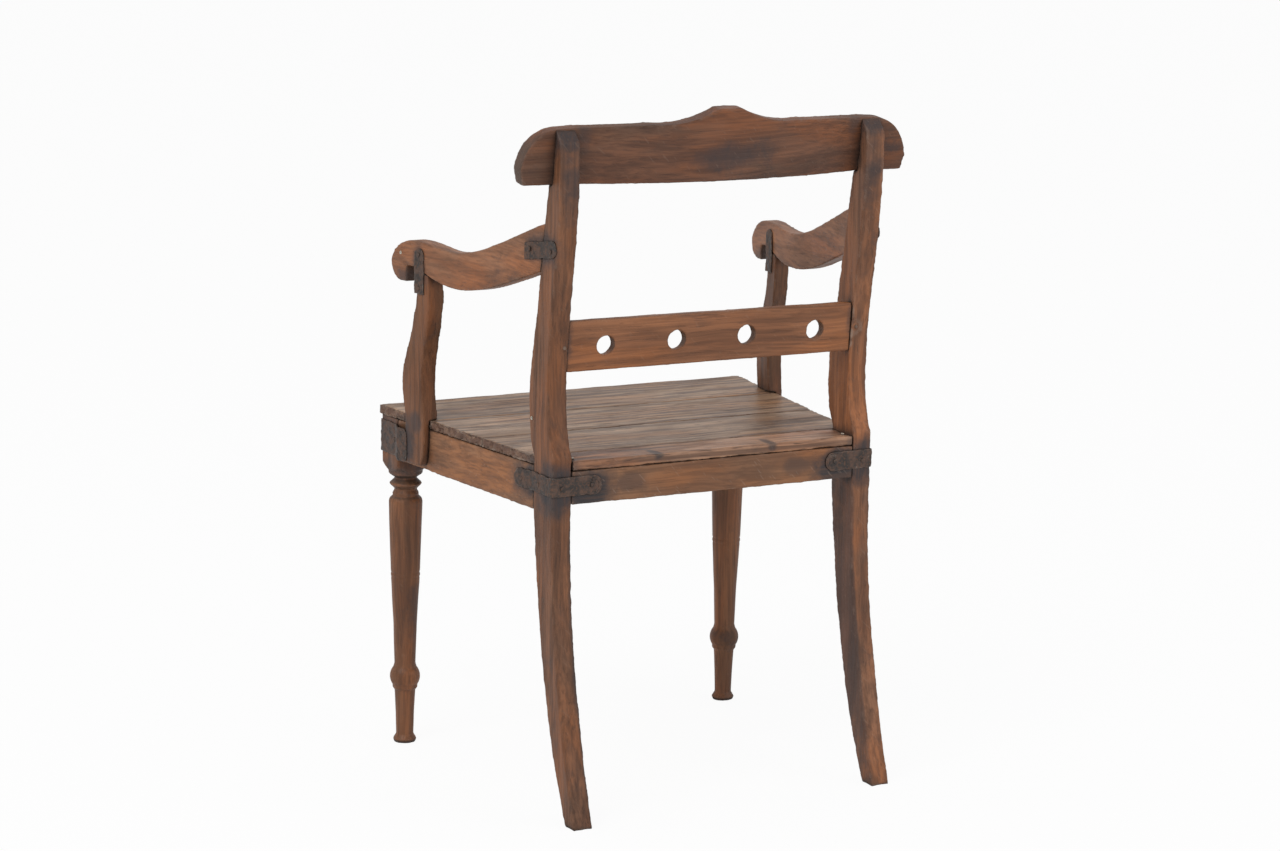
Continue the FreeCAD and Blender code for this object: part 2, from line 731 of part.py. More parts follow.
def front_leg(name, side):
    # The body's own origin lies on the floor, on the turning axis.
    body = new_body(name)
    axis_x = f"{side} * leg_axis_x"
    set_place(body, axis_x, "leg_axis_y")
    half = "block_width / 2"

    profile = new_sketch(body, name + "_profile", "XZ_Plane")
    add_outline(profile, turned_profile())
    turn_about_z(body, name + "_shaft", "PartDesign::Revolution", profile)

    block = new_sketch(body, name + "_block_side", "YZ_Plane", f"-({half})")
    add_outline(block, straight((f"-({half})", "pommel_height"), (half, "pommel_height"), (half, "block_top"),
                                (f"-({half})", "block_top + seat_slope * block_width")))
    pad(body, name + "_block", block, "block_width")

    pommel = new_sketch(body, name + "_pommel_profile", "XZ_Plane")
    add_outline(pommel, [
        ("collar_radius", "pommel_height", None),
        ("pommel_reach + saw_margin", "pommel_height", None),
        ("pommel_reach + saw_margin", "pommel_height + pommel_rise", None),
        ("pommel_reach", "pommel_height + pommel_rise", None),
    ])
    turn_about_z(body, name + "_pommel", "PartDesign::Groove", pommel)

    left, right, low, high = side_rail_tenon(side, "front")
    side_mortise = new_sketch(body, name + "_side_mortise_mouth", "XZ_Plane", f"-({half})")
    add_outline(side_mortise, mortise(f"{left} - ({axis_x})", f"{right} - ({axis_x})", low, high, side))
    pocket(body, name + "_side_mortise", side_mortise, "tenon_length + mortise_end_gap", reverse=True)

    front_mortise = new_sketch(body, name + "_front_mortise_mouth", "YZ_Plane", f"-{side} * {half}")
    add_outline(front_mortise, mortise(*front_rail_tenon("leg_axis_y")))
    pocket(body, name + "_front_mortise", front_mortise, "tenon_length + mortise_end_gap", reverse=side > 0)
    return body


# Seat rails

def side_rail(name, side):
    body = new_body(name)
    sections = []
    for end, y in (("front", "block_rear"), ("rear", "post_front")):
        section = new_sketch(body, f"{name}_{end}_end", "XZ_Plane", f"-({y})")
        outer = f"{side} * {end}_outer_half"
        inner = f"{side} * ({end}_outer_half - side_rail_thickness)"
        add_outline(section, rectangle(inner, outer, f"side_rail_{end}_bottom", f"rail_top_{end}"))
        sections.append(section)
    loft(body, name + "_rail", "PartDesign::AdditiveLoft", sections)
    box_along_y(body, name + "_front_tenon", "block_rear",
                rectangle(*side_rail_tenon(side, "front")), "tenon_length", forwards=True)
    box_along_y(body, name + "_rear_tenon", "post_front",
                rectangle(*side_rail_tenon(side, "rear")), "tenon_length", forwards=False)
    return body


def cross_rail(name, half_length, section, tenon):
    # A rail between the legs, with a tenon at each end.
    body = new_body(name)
    profile = new_sketch(body, name + "_section", "YZ_Plane", f"-({half_length})")
    add_outline(profile, section)
    pad(body, name + "_rail", profile, f"2 * ({half_length})")
    for side, hand in ((1, "left"), (-1, "right")):
        cheek = new_sketch(body, f"{name}_{hand}_tenon_section", "YZ_Plane", f"{side} * ({half_length})")
        add_outline(cheek, tenon)
        pad(body, f"{name}_{hand}_tenon", cheek, "tenon_length", reverse=side < 0)
    return body


def seat_rail_section(front, rear, bottom):
    # Upright section with its top planed to the slope of the seat.
    return straight((front, bottom), (rear, bottom), (rear, f"{seat_top(rear)} - board_drop"),
                    (front, f"{seat_top(front)} - board_drop"))


def rear_seat_rail():
    cross_rail("rear_seat_rail", "stile_inner",
               seat_rail_section("post_rear - rear_rail_thickness", "post_rear", "rear_rail_bottom"),
               rectangle(*rear_rail_tenon()))


def front_seat_rail():
    front = "front_face + front_rail_inset"
    cross_rail("front_seat_rail", "front_inner_half",
               seat_rail_section(front, f"{front} + front_rail_thickness", "front_rail_bottom"),
               rectangle(*front_rail_tenon()))


# Seat boards, laid side to side on the rails and planed to one sloping plane

def seat_board(name, front, rear, front_half, rear_half):
    # The body's own frame lies in the seat's top plane, with Y running rearwards down the slope.
    body = new_body(name)
    set_place(body, "0", "front_face", "seat_height", "-seat_angle")
    plan = new_sketch(body, name + "_plan", "XY_Plane", "-board_thickness")
    add_outline(plan, straight((f"-({front_half})", front), (front_half, front), (rear_half, rear),
                               (f"-({rear_half})", rear)))
    pad(body, name + "_board", plan, "board_thickness")
    return body


def seat_boards():
    seams = ["0", "board_front_depth", "board_front_depth + board_pitch", "seat_depth"]
    for number in range(3):
        front = f"{seams[number]} + board_gap / 2" if number else "0"
        rear = f"{seams[number + 1]} - board_gap / 2"
        body = seat_board(f"seat_board_{number + 1}", front, rear,
                          f"{side_edge('front_face + ' + front)} - board_end_inset",
                          f"{side_edge('front_face + ' + rear)} - board_end_inset")
        if number == 0:
            round_edges(body, "seat_board_1_nosing", "board_round",
                        lambda edge: lies_at(edge, "y", 0) and lies_at(edge, "z", 0))
    post_line = "seat_depth / cos(seat_angle)"
    seat_board("seat_board_rear", f"{post_line} + board_gap / 2", "(seat_depth + post_depth) / cos(seat_angle)",
               "stile_inner - board_end_inset", "stile_inner - board_end_inset")


# Crest rail, sawn hollow in plan, then cut to its shape in elevation

def set_crest_frame(body):
    # Y points rearwards, square to the rail's rear face; Z runs up the rake from its lower edge.
    set_place(body, "0", "crest_seat_y", "crest_height", "-crest_rake")


def crest_plan_half(y, turn):
    # Half of one face: a flat where the rail meets the stile, a short blend and the long bow.
    return [("crest_half", y, None),
            ("crest_blend_end", y, f"{turn} * crest_blend_radius"),
            ("crest_bow_half", f"{y} + crest_blend_rise", f"-({turn}) * crest_bow_radius")]


def crest_rail():
    body = new_body("crest_rail")
    set_crest_frame(body)
    plan = new_sketch(body, "crest_rail_plan", "XY_Plane")
    rear = mirrored(crest_plan_half("0", "-1"))[:]
    front = [(f"-({u})", v, edge) for u, v, edge in mirrored(crest_plan_half("-crest_thickness", "1"))]
    add_outline(plan, rear + front)
    pad(body, "crest_rail_blank", plan, "crest_peak_height")
    elevation = new_sketch(body, "crest_rail_elevation", "XZ_Plane")
    add_outline(elevation, rectangle("-2 * crest_half", "2 * crest_half", "-crest_half", "crest_half"))
    add_outline(elevation, mirrored([
        ("crest_half - crest_end_taper - crest_corner_radius", "0", "crest_corner_radius"),
        ("crest_half - crest_end_taper", "crest_corner_radius", None),
        ("crest_half", "crest_side_height", "crest_ear_radius"),
        ("crest_half - crest_ear_width", "crest_ear_height", None),
        ("crest_sweep_half", "crest_sweep_height", "-crest_sweep_radius"),
        ("crest_peak_foot_half", "crest_peak_foot_height", None),
        ("crest_peak_half", "crest_peak_height", None),
    ]))
    pocket_through(body, "crest_rail_waste", elevation)
    holes = new_sketch(body, "crest_rail_peg_hole_mouths", "XZ_Plane")
    add_crest_peg_circles(holes, (1, -1), "peg_diameter + 2 * peg_clearance")
    pocket(body, "crest_rail_peg_holes", holes, "crest_peg_depth + mortise_end_gap", reverse=True)
    return body


# Pierced back rail with four round holes

def pierced_back_rail():
    body = cross_rail("pierced_back_rail", "stile_inner", back_rail_section(),
                      back_rail_section("back_tenon_margin"))
    holes = new_sketch(body, "pierced_back_rail_holes_mouths", "XZ_Plane")
    for steps in (-1.5, -0.5, 0.5, 1.5):
        add_circle(holes, f"{steps} * back_hole_spacing", "back_rail_height - back_hole_drop",
                   "back_hole_diameter")
    for side in (1, -1):
        add_circle(holes, f"{side} * (stile_inner + back_peg_inset)", "back_rail_height",
                   "peg_diameter + 2 * peg_clearance")
    pocket_through(body, "pierced_back_rail_holes", holes)
    return body


# Arms and their supports, sawn from two sides

def arm(name, side):
    outline = [
        ("arm_top_y", "arm_top_height", [
            ("post_rear - arm_fall_set", "arm_fall_height"),
            ("post_rear - arm_dip_set", "arm_dip_height"),
            ("post_rear - arm_crown_set", "arm_crown_height"),
            ("post_rear - arm_brow_set", "arm_brow_height"),
            ("post_rear - arm_reach", "nose_height"),
            ("post_rear - nose_chin_set", "nose_chin_height")]),
        ("post_rear - nose_bottom_set", "nose_bottom_height", None),
        ("post_rear - nose_notch_set", "nose_bottom_height", None),
        ("post_rear - nose_notch_set", "nose_notch_height", None),
        ("post_rear - support_top_front_set", "nose_notch_height + notch_lead", None),
        ("post_rear - support_top_rear_set", "support_top_rear_height", [
            ("post_rear - arm_belly_set", "arm_belly_height"),
            ("post_rear - arm_rise_set", "arm_rise_height")]),
        ("arm_bottom_y", "arm_bottom_height", None),
    ]
    plan = splayed_plan(side, "0", "arm_thickness", "arm_nose_y - saw_margin", "arm_top_y + saw_margin")
    body = sawn_piece(name, plan, "nose_bottom_height - saw_margin", "arm_top_height + saw_margin", outline)
    box_along_y(body, name + "_rear_tenon", "arm_bottom_y - tenon_length",
                rectangle(*arm_tenon(side)),
                "arm_top_y - arm_bottom_y + tenon_length + arm_tenon_reach", forwards=False)
    socket_top = "support_top_rear_height + support_tenon_height + mortise_end_gap"
    socket = new_sketch(body, name + "_support_mortise_mouth", "XY_Plane", socket_top)
    add_outline(socket, support_tenon(side, "tenon_clearance"))
    socket_depth = "support_tenon_height + nose_notch_height - nose_bottom_height"
    pocket(body, name + "_support_mortise", socket, socket_depth)
    return body


def support_tenon(side, play="0"):
    # Plan of the tenon at the top of the arm support.
    near = f"(arm_thickness - tenon_thickness) / 2 - {play}"
    far = f"(arm_thickness + tenon_thickness) / 2 + {play}"
    return splayed_plan(side, near, far, f"post_rear - support_top_front_set + support_tenon_inset - {play}",
                        f"post_rear - support_top_rear_set - support_tenon_inset + {play}")


def arm_support(name, side):
    outline = [
        ("post_rear - support_top_front_set", "nose_notch_height + notch_lead", [
            ("post_rear - support_neck_front_set", "support_neck_height"),
            ("post_rear - support_bulge_front_set", "support_bulge_height"),
            ("post_rear - support_belly_front_set", "support_belly_height"),
            ("post_rear - tongue_waist_front_set", "tongue_waist_height")]),
        ("post_rear - tongue_front_set", "tongue_bottom", None),
        ("post_rear - tongue_rear_set", "tongue_bottom", [
            ("post_rear - tongue_waist_rear_set", "tongue_waist_height"),
            ("post_rear - support_belly_rear_set", "support_belly_height"),
            ("post_rear - support_bulge_rear_set", "support_bulge_height"),
            ("post_rear - support_neck_rear_set", "support_neck_height")]),
        ("post_rear - support_top_rear_set", "support_top_rear_height", None),
    ]
    low = "tongue_bottom - saw_margin"
    body = sawn_piece(name, splayed_plan(side, "0", "arm_thickness", "tongue_front_y - saw_margin",
                                         "post_rear - support_neck_rear_set + saw_margin"),
                      low, "nose_notch_height + saw_margin", outline)
    # The inner half stops as a shoulder on the seat; the outer half laps over the side rail.
    sections = []
    lap_ends = {"front": "tongue_front_y - 2 * saw_margin",
                "rear": "post_rear - support_neck_rear_set + 2 * saw_margin"}
    for end, y in lap_ends.items():
        section = new_sketch(body, f"{name}_lap_{end}", "XZ_Plane", f"-({y})")
        edge = side_edge(y)
        add_outline(section, rectangle(f"{side} * ({edge} - 2 * arm_thickness)", f"{side} * {edge}",
                                       "tongue_bottom - 2 * saw_margin", seat_top(y)))
        sections.append(section)
    document.recompute()
    before = body.Shape.Volume
    loft(body, name + "_lap", "PartDesign::SubtractiveLoft", sections)
    document.recompute()
    if body.Shape.Volume > before - 1:
        raise RuntimeError(name + ": the lap removes nothing")
    tenon = new_sketch(body, name + "_tenon_plan", "XY_Plane", "support_top_rear_height - tenon_length")
    add_outline(tenon, support_tenon(side))
    pad(body, name + "_tenon", tenon, "tenon_length + support_tenon_height")
    return body


# Iron straps and plates that hold the joints

def round_tip(body, name, plane, tip, inward, low, width, radius):
    # Rounds the two corners of a flat band's end, seen square to the band.
    high = f"{low} + {width}"
    past = f"{tip} - {inward} * {radius}"
    back = f"{tip} + {inward} * {radius}"
    turn = f"-({inward}) * {radius}"
    waste = new_sketch(body, name + "_waste", plane)
    add_outline(waste, [
        (past, f"{low} - {radius}", None),
        (back, f"{low} - {radius}", None),
        (back, low, turn),
        (tip, f"{low} + {radius}", None),
        (tip, f"{high} - {radius}", turn),
        (back, high, None),
        (back, f"{high} + {radius}", None),
        (past, f"{high} + {radius}", None),
    ])
    pocket_through(body, name, waste)


def rear_corner_strap(name, side):
    body = new_body(name)
    tip = "post_rear - rear_strap_side_reach"
    start = f"{side} * (rear_outer_half - rear_strap_reach)"
    outer = "rear_outer_half + strap_thickness"
    plan = new_sketch(body, name + "_plan", "XY_Plane", "rear_strap_bottom")
    add_outline(plan, [
        (start, "post_rear", None),
        (f"{side} * rear_outer_half", "post_rear", None),
        (f"{side} * rear_outer_half", "post_front", None),
        (f"{side} * {side_edge(tip)}", tip, None),
        (f"{side} * ({side_edge(tip)} + strap_thickness)", tip, None),
        (f"{side} * ({outer})", "post_front", None),
        (f"{side} * ({outer})", "post_rear + strap_thickness - strap_bend_radius",
         f"{side} * strap_bend_radius"),
        (f"{side} * ({outer} - strap_bend_radius)", "post_rear + strap_thickness", None),
        (start, "post_rear + strap_thickness", None),
    ])
    pad(body, name + "_band", plan, "rear_strap_width")
    band = ("rear_strap_bottom", "rear_strap_width", "rear_strap_end_radius")
    round_tip(body, name + "_rear_tip", "XZ_Plane", start, side, *band)
    round_tip(body, name + "_side_tip", "YZ_Plane", tip, 1, *band)
    return body


def front_corner_strap(name, side):
    # From the front of the block round its corner, then out over the lapped arm support.
    body = new_body(name)
    start = f"{side} * (front_outer_half - front_strap_reach)"
    outer = "front_outer_half + strap_thickness"
    bend = "block_rear - front_strap_end_margin"
    step = "tongue_front_y - front_strap_end_margin"
    tip = "post_rear - front_strap_end_set - front_strap_end_margin"
    plan = new_sketch(body, name + "_plan", "XY_Plane", "front_strap_bottom")
    add_outline(plan, [
        (start, "front_face - strap_thickness", None),
        (f"{side} * ({outer} - strap_bend_radius)", "front_face - strap_thickness",
         f"{side} * strap_bend_radius"),
        (f"{side} * ({outer})", "front_face - strap_thickness + strap_bend_radius", None),
        (f"{side} * ({outer})", bend, None),
        (f"{side} * ({arm_face(step)} + strap_thickness)", step, None),
        (f"{side} * ({arm_face(tip)} + strap_thickness)", tip, None),
        (f"{side} * {arm_face(tip)}", tip, None),
        (f"{side} * {arm_face(step)}", step, None),
        (f"{side} * front_outer_half", bend, None),
        (f"{side} * front_outer_half", "front_face", None),
        (start, "front_face", None),
    ])
    pad(body, name + "_band", plan, "front_strap_width")
    band = ("front_strap_bottom", "front_strap_width", "front_strap_end_radius")
    round_tip(body, name + "_front_tip", "XZ_Plane", start, side, *band)
    round_tip(body, name + "_side_tip", "YZ_Plane", tip, -1, *band)
    return body


def arm_joint_strap(name, side):
    # Lies on the arm and on the stile, bent where the splayed arm meets the stile.
    front = "post_rear - arm_strap_front_set"
    rear = "post_rear + arm_strap_rear_set"
    face = f"{side} * rear_outer_half"
    skin = f"{side} * (rear_outer_half + strap_thickness)"
    plan = straight((f"{side} * {arm_face(front)}", front), (face, "arm_bend_y"), (face, rear), (skin, rear),
                    (skin, "arm_bend_y"), (f"{side} * ({arm_face(front)} + strap_thickness)", front))
    half = "arm_strap_width / 2"
    low = f"arm_strap_height - {half}"
    high = f"arm_strap_height + {half}"
    round_start = f"{rear} - arm_strap_end_radius"
    outline = [
        (front, low, None),
        (round_start, f"{low} + arm_strap_rise", "arm_strap_end_radius"),
        (rear, f"{low} + arm_strap_rise + arm_strap_end_radius", None),
        (rear, f"{high} + arm_strap_rise - arm_strap_end_radius", "arm_strap_end_radius"),
        (round_start, f"{high} + arm_strap_rise", None),
        (front, high, None),
    ]
    return sawn_piece(name, plan, f"{low} - saw_margin", f"{high} + arm_strap_rise + saw_margin", outline)


def arm_plate(name, side, inner):
    # A nailed plate across the joint of an arm and its support.
    rear = "post_rear - arm_plate_rear_set"
    front = f"{rear} - arm_plate_width"
    near = "arm_thickness" if inner else "-strap_thickness"
    far = "arm_thickness + strap_thickness" if inner else "0"
    crown = "arm_plate_top - arm_plate_width / 2"
    outline = [
        (front, "arm_plate_bottom", None),
        (rear, "arm_plate_bottom", None),
        (rear, crown, "arm_plate_width / 2"),
        (f"{rear} - arm_plate_width / 2", "arm_plate_top", "arm_plate_width / 2"),
        (front, crown, None),
    ]
    return sawn_piece(name, splayed_plan(side, near, far, f"{front} - saw_margin", f"{rear} + saw_margin"),
                      "arm_plate_bottom - saw_margin", "arm_plate_top + saw_margin", outline)


# Wooden pegs, each kind in one group

def back_rail_pegs():
    body = new_body("back_rail_pegs")
    ends = new_sketch(body, "back_rail_pegs_ends", "XZ_Plane", "back_peg_set - (post_rear)")
    for side in (1, -1):
        add_circle(ends, f"{side} * (stile_inner + back_peg_inset)", "back_rail_height", "peg_diameter")
    pad(body, "back_rail_pegs_shanks", ends, "back_peg_length")
    return body


def crest_pegs():
    # The rear ends are trimmed level with the upright rear face of the stiles.
    body = new_body("crest_pegs")
    set_crest_frame(body)
    ends = new_sketch(body, "crest_pegs_ends", "XZ_Plane", "crest_peg_depth")
    add_crest_peg_circles(ends, (1, -1), "peg_diameter")
    pad(body, "crest_pegs_shanks", ends, "crest_peg_depth + post_depth", reverse=True)
    trim = new_sketch(body, "crest_pegs_trim", "YZ_Plane")
    reach = "(stile_high_kick + crest_set) / cos(crest_rake)"
    add_outline(trim, straight((reach, "0"), ("2 * post_depth", "0"), ("2 * post_depth", "crest_peak_height"),
                               (f"{reach} - tan(crest_rake) * crest_peak_height", "crest_peak_height")))
    pocket_through(body, "crest_pegs_trimming", trim)
    return body


# Assembly

def build():
    for side, hand in ((1, "left"), (-1, "right")):
        rear_leg("rear_leg_" + hand, side)
        front_leg("front_leg_" + hand, side)
        side_rail("side_rail_" + hand, side)
        arm("arm_" + hand, side)
        arm_support("arm_support_" + hand, side)
        rear_corner_strap("rear_corner_strap_" + hand, side)
        front_corner_strap("front_corner_strap_" + hand, side)
        arm_joint_strap("arm_joint_strap_" + hand, side)
        arm_plate("arm_outer_plate_" + hand, side, inner=False)
        arm_plate("arm_inner_plate_" + hand, side, inner=True)
    rear_seat_rail()
    front_seat_rail()
    seat_boards()
    crest_rail()
    pierced_back_rail()
    back_rail_pegs()
    crest_pegs()
    document.recompute()


def check(bodies):
    for item in document.Objects:
        if "Invalid" in item.State or "Error" in item.State:
            raise RuntimeError(f"{item.Label} failed: {item.State}")
    for body in bodies:
        if body.Shape.isNull() or not body.Shape.isValid():
            raise RuntimeError(f"{body.Label} has no valid shape")


build()
pieces = [item for item in document.Objects if item.TypeId == "PartDesign::Body"]
check(pieces)
os.makedirs("parts", exist_ok=True)
for piece in pieces:
    piece.Shape.exportStep(f"parts/{piece.Label}.step")
    box = piece.Shape.BoundBox
    print(f"{piece.Label}: {len(piece.Shape.Solids)} solids, {piece.Shape.Volume / 1000:.1f} cm3, "
          f"X {box.XMin:.1f} {box.XMax:.1f}, Y {box.YMin:.1f} {box.YMax:.1f}, Z {box.ZMin:.1f} {box.ZMax:.1f}")
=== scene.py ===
import math

import bmesh
import bpy
import numpy as np
from mathutils import Matrix, Vector


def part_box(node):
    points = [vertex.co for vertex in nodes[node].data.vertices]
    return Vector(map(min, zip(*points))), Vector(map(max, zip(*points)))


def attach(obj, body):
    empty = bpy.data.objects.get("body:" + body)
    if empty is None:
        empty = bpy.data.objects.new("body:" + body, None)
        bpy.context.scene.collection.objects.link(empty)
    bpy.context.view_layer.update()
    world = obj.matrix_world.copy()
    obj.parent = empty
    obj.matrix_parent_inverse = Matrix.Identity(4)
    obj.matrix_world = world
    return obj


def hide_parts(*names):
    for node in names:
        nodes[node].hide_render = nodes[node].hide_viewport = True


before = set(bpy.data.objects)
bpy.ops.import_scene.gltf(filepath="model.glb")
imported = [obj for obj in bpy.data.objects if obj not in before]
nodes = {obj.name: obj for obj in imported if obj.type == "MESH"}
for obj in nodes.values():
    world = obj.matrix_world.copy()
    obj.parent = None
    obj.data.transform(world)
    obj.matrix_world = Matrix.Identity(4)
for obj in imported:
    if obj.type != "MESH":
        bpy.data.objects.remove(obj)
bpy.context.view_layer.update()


# Camera, at the photograph's viewpoint

photoCamera = {
    "place": (2.0785, 3.6940, 1.2469),
    "azimuth": 150.79,   # degrees, turned from looking along +Y
    "pitch": 10.76,      # degrees, looking down
    "roll": 0.983,       # degrees
    "lens": 94.95,       # mm
    "sensor": 36,        # mm
    "farthest": 50,      # metres
}


def addCamera():
    turn = math.radians(photoCamera["azimuth"])
    dip = math.radians(photoCamera["pitch"])
    lean = math.radians(photoCamera["roll"])
    ahead = Vector((-math.sin(turn) * math.cos(dip), math.cos(turn) * math.cos(dip), -math.sin(dip)))
    right = Vector((math.cos(turn), math.sin(turn), 0))
    up = right.cross(ahead)
    rolledRight = math.cos(lean) * right + math.sin(lean) * up
    rolledUp = math.cos(lean) * up - math.sin(lean) * right
    data = bpy.data.cameras.new("photoCamera")
    data.lens = photoCamera["lens"]
    data.sensor_width = photoCamera["sensor"]
    data.clip_end = photoCamera["farthest"]
    camera = bpy.data.objects.new("photoCamera", data)
    bpy.context.scene.collection.objects.link(camera)
    axes = Matrix((rolledRight, rolledUp, -ahead)).transposed().to_4x4()
    camera.matrix_world = Matrix.Translation(Vector(photoCamera["place"])) @ axes
    bpy.context.scene.camera = camera


# Lights, world and floor

studio = {
    "worldGrey": 0.62,
    "worldBlue": 1.01,     # the blue of the world's light over its grey
    "aim": (0, 0, 0.45),
    "keyPower": 78,
    "keyPlace": (3.2, 1.6, 3.6),
    "keySize": 2.6,
    "fillPower": 26,
    "fillPlace": (-2.6, 3.4, 2.2),
    "fillSize": 2.4,
    "floorSize": 30,
    "floorGrey": 0.92,
    "floorShadow": 0.07,   # how much of the floor's own shading the camera sees
}


def addAreaLight(name, place, size, power):
    data = bpy.data.lights.new(name, "AREA")
    data.energy = power
    data.size = size
    light = bpy.data.objects.new(name, data)
    bpy.context.scene.collection.objects.link(light)
    light.location = place
    aim = Vector(studio["aim"]) - Vector(place)
    light.rotation_euler = aim.to_track_quat("-Z", "Y").to_euler()


def addWorld():
    world = bpy.data.worlds.new("studioWorld")
    bpy.context.scene.world = world
    world.use_nodes = True
    tree = world.node_tree
    tree.nodes.clear()
    rays = tree.nodes.new("ShaderNodeLightPath")
    seen = tree.nodes.new("ShaderNodeMath")
    seen.operation = "MAXIMUM"
    tree.links.new(rays.outputs["Is Camera Ray"], seen.inputs[0])
    tree.links.new(rays.outputs["Is Transmission Ray"], seen.inputs[1])
    lit = tree.nodes.new("ShaderNodeBackground")
    grey = studio["worldGrey"]
    lit.inputs["Color"].default_value = (grey, grey, grey * studio["worldBlue"], 1)
    white = tree.nodes.new("ShaderNodeBackground")
    white.inputs["Color"].default_value = (1, 1, 1, 1)
    mix = tree.nodes.new("ShaderNodeMixShader")
    out = tree.nodes.new("ShaderNodeOutputWorld")
    tree.links.new(seen.outputs[0], mix.inputs["Fac"])
    tree.links.new(lit.outputs[0], mix.inputs[1])
    tree.links.new(white.outputs[0], mix.inputs[2])
    tree.links.new(mix.outputs[0], out.inputs["Surface"])


def addFloor():
    bpy.ops.object.select_all(action="DESELECT")
    bpy.ops.mesh.primitive_plane_add(size=studio["floorSize"], location=(0, 0, 0))
    floor = bpy.context.object
    floor.name = "studioFloor"
    material = bpy.data.materials.new("paleFloor")
    material.use_nodes = True
    tree = material.node_tree
    tree.nodes.clear()
    rays = tree.nodes.new("ShaderNodeLightPath")
    matte = tree.nodes.new("ShaderNodeBsdfDiffuse")
    grey = studio["floorGrey"]
    matte.inputs["Color"].default_value = (grey, grey, grey, 1)
    white = tree.nodes.new("ShaderNodeEmission")
    white.inputs["Color"].default_value = (1, 1, 1, 1)
    keep = tree.nodes.new("ShaderNodeMath")
    keep.operation = "MULTIPLY"
    keep.inputs[1].default_value = 1 - studio["floorShadow"]
    mix = tree.nodes.new("ShaderNodeMixShader")
    out = tree.nodes.new("ShaderNodeOutputMaterial")
    tree.links.new(rays.outputs["Is Camera Ray"], keep.inputs[0])
    tree.links.new(keep.outputs[0], mix.inputs["Fac"])
    tree.links.new(matte.outputs[0], mix.inputs[1])
    tree.links.new(white.outputs[0], mix.inputs[2])
    tree.links.new(mix.outputs[0], out.inputs["Surface"])
    floor.data.materials.append(material)


# Node helpers

def newGroup(name, inputs, outputs):
    tree = bpy.data.node_groups.new(name, "ShaderNodeTree")
    for label, kind, value in inputs:
        socket = tree.interface.new_socket(label, in_out="INPUT", socket_type=kind)
        if value is not None:
            socket.default_value = value
    for label in outputs:
        tree.interface.new_socket(label, in_out="OUTPUT", socket_type="NodeSocketFloat")
    return tree, tree.nodes.new("NodeGroupInput"), tree.nodes.new("NodeGroupOutput")


def placeGroup(tree, group, values=None, links=None):
    node = tree.nodes.new("ShaderNodeGroup")
    node.node_tree = group
    for label, value in (values or {}).items():
        node.inputs[label].default_value = value
    for label, output in (links or {}).items():
        tree.links.new(output, node.inputs[label])
    return node


def feed(tree, socket, value):
    if value is None:
        return
    if isinstance(value, (int, float)):
        socket.default_value = value
    elif isinstance(value, tuple):
        socket.default_value = value if len(value) == len(socket.default_value) else (*value, 1)
    else:
        tree.links.new(value, socket)


def mathNode(tree, operation, first, second=None):
    node = tree.nodes.new("ShaderNodeMath")
    node.operation = operation
    feed(tree, node.inputs[0], first)
    feed(tree, node.inputs[1], second)
    return node.outputs[0]


def vectorNode(tree, operation, first, second=None, third=None):
    node = tree.nodes.new("ShaderNodeVectorMath")
    node.operation = operation
    feed(tree, node.inputs[0], first)
    feed(tree, node.inputs[1], second)
    feed(tree, node.inputs[2], third)
    return node.outputs["Value"] if operation in ("LENGTH", "DOT_PRODUCT") else node.outputs["Vector"]


def noiseNode(tree, vector, scale, detail=3, rough=0.5, distortion=0):
    # scale is one number, or three for a noise that is stretched
    node = tree.nodes.new("ShaderNodeTexNoise")
    if isinstance(scale, tuple):
        vector = vectorNode(tree, "MULTIPLY", vector, scale)
        scale = 1
    tree.links.new(vector, node.inputs["Vector"])
    node.inputs["Scale"].default_value = scale
    node.inputs["Detail"].default_value = detail
    node.inputs["Roughness"].default_value = rough
    node.inputs["Distortion"].default_value = distortion
    return node


def remap(tree, value, low, high, toLow=0, toHigh=1):
    node = tree.nodes.new("ShaderNodeMapRange")
    node.interpolation_type = "SMOOTHSTEP"
    tree.links.new(value, node.inputs["Value"])
    node.inputs["From Min"].default_value = low
    node.inputs["From Max"].default_value = high
    node.inputs["To Min"].default_value = toLow
    node.inputs["To Max"].default_value = toHigh
    return node.outputs["Result"]


def mixColour(tree, mask, strength, first, second):
    node = tree.nodes.new("ShaderNodeMix")
    node.data_type = "RGBA"
    feed(tree, node.inputs["Factor"], mathNode(tree, "MULTIPLY", mask, strength))
    feed(tree, node.inputs["A"], first)
    feed(tree, node.inputs["B"], second)
    return node.outputs["Result"]


def fadedNoise(tree, vector, look):
    noise = noiseNode(tree, vector, look["scale"], look["detail"], look["rough"], look.get("distortion", 0))
    return remap(tree, noise.outputs["Fac"], *look["fade"])


def newMaterial(name):
    material = bpy.data.materials.new(name)
    material.use_nodes = True
    tree = material.node_tree
    tree.nodes.clear()
    place = tree.nodes.new("ShaderNodeTexCoord")
    shader = tree.nodes.new("ShaderNodeBsdfPrincipled")
    out = tree.nodes.new("ShaderNodeOutputMaterial")
    tree.links.new(shader.outputs[0], out.inputs["Surface"])
    return material, tree, place, shader


def addBump(tree, shader, height, look):
    bump = tree.nodes.new("ShaderNodeBump")
    bump.inputs["Strength"].default_value = look["bump"]
    bump.inputs["Distance"].default_value = look["depth"]
    tree.links.new(height, bump.inputs["Height"])
    tree.links.new(bump.outputs["Normal"], shader.inputs["Normal"])


# Shader groups that several materials share. Noise is scaled per metre, and fades in between two levels.

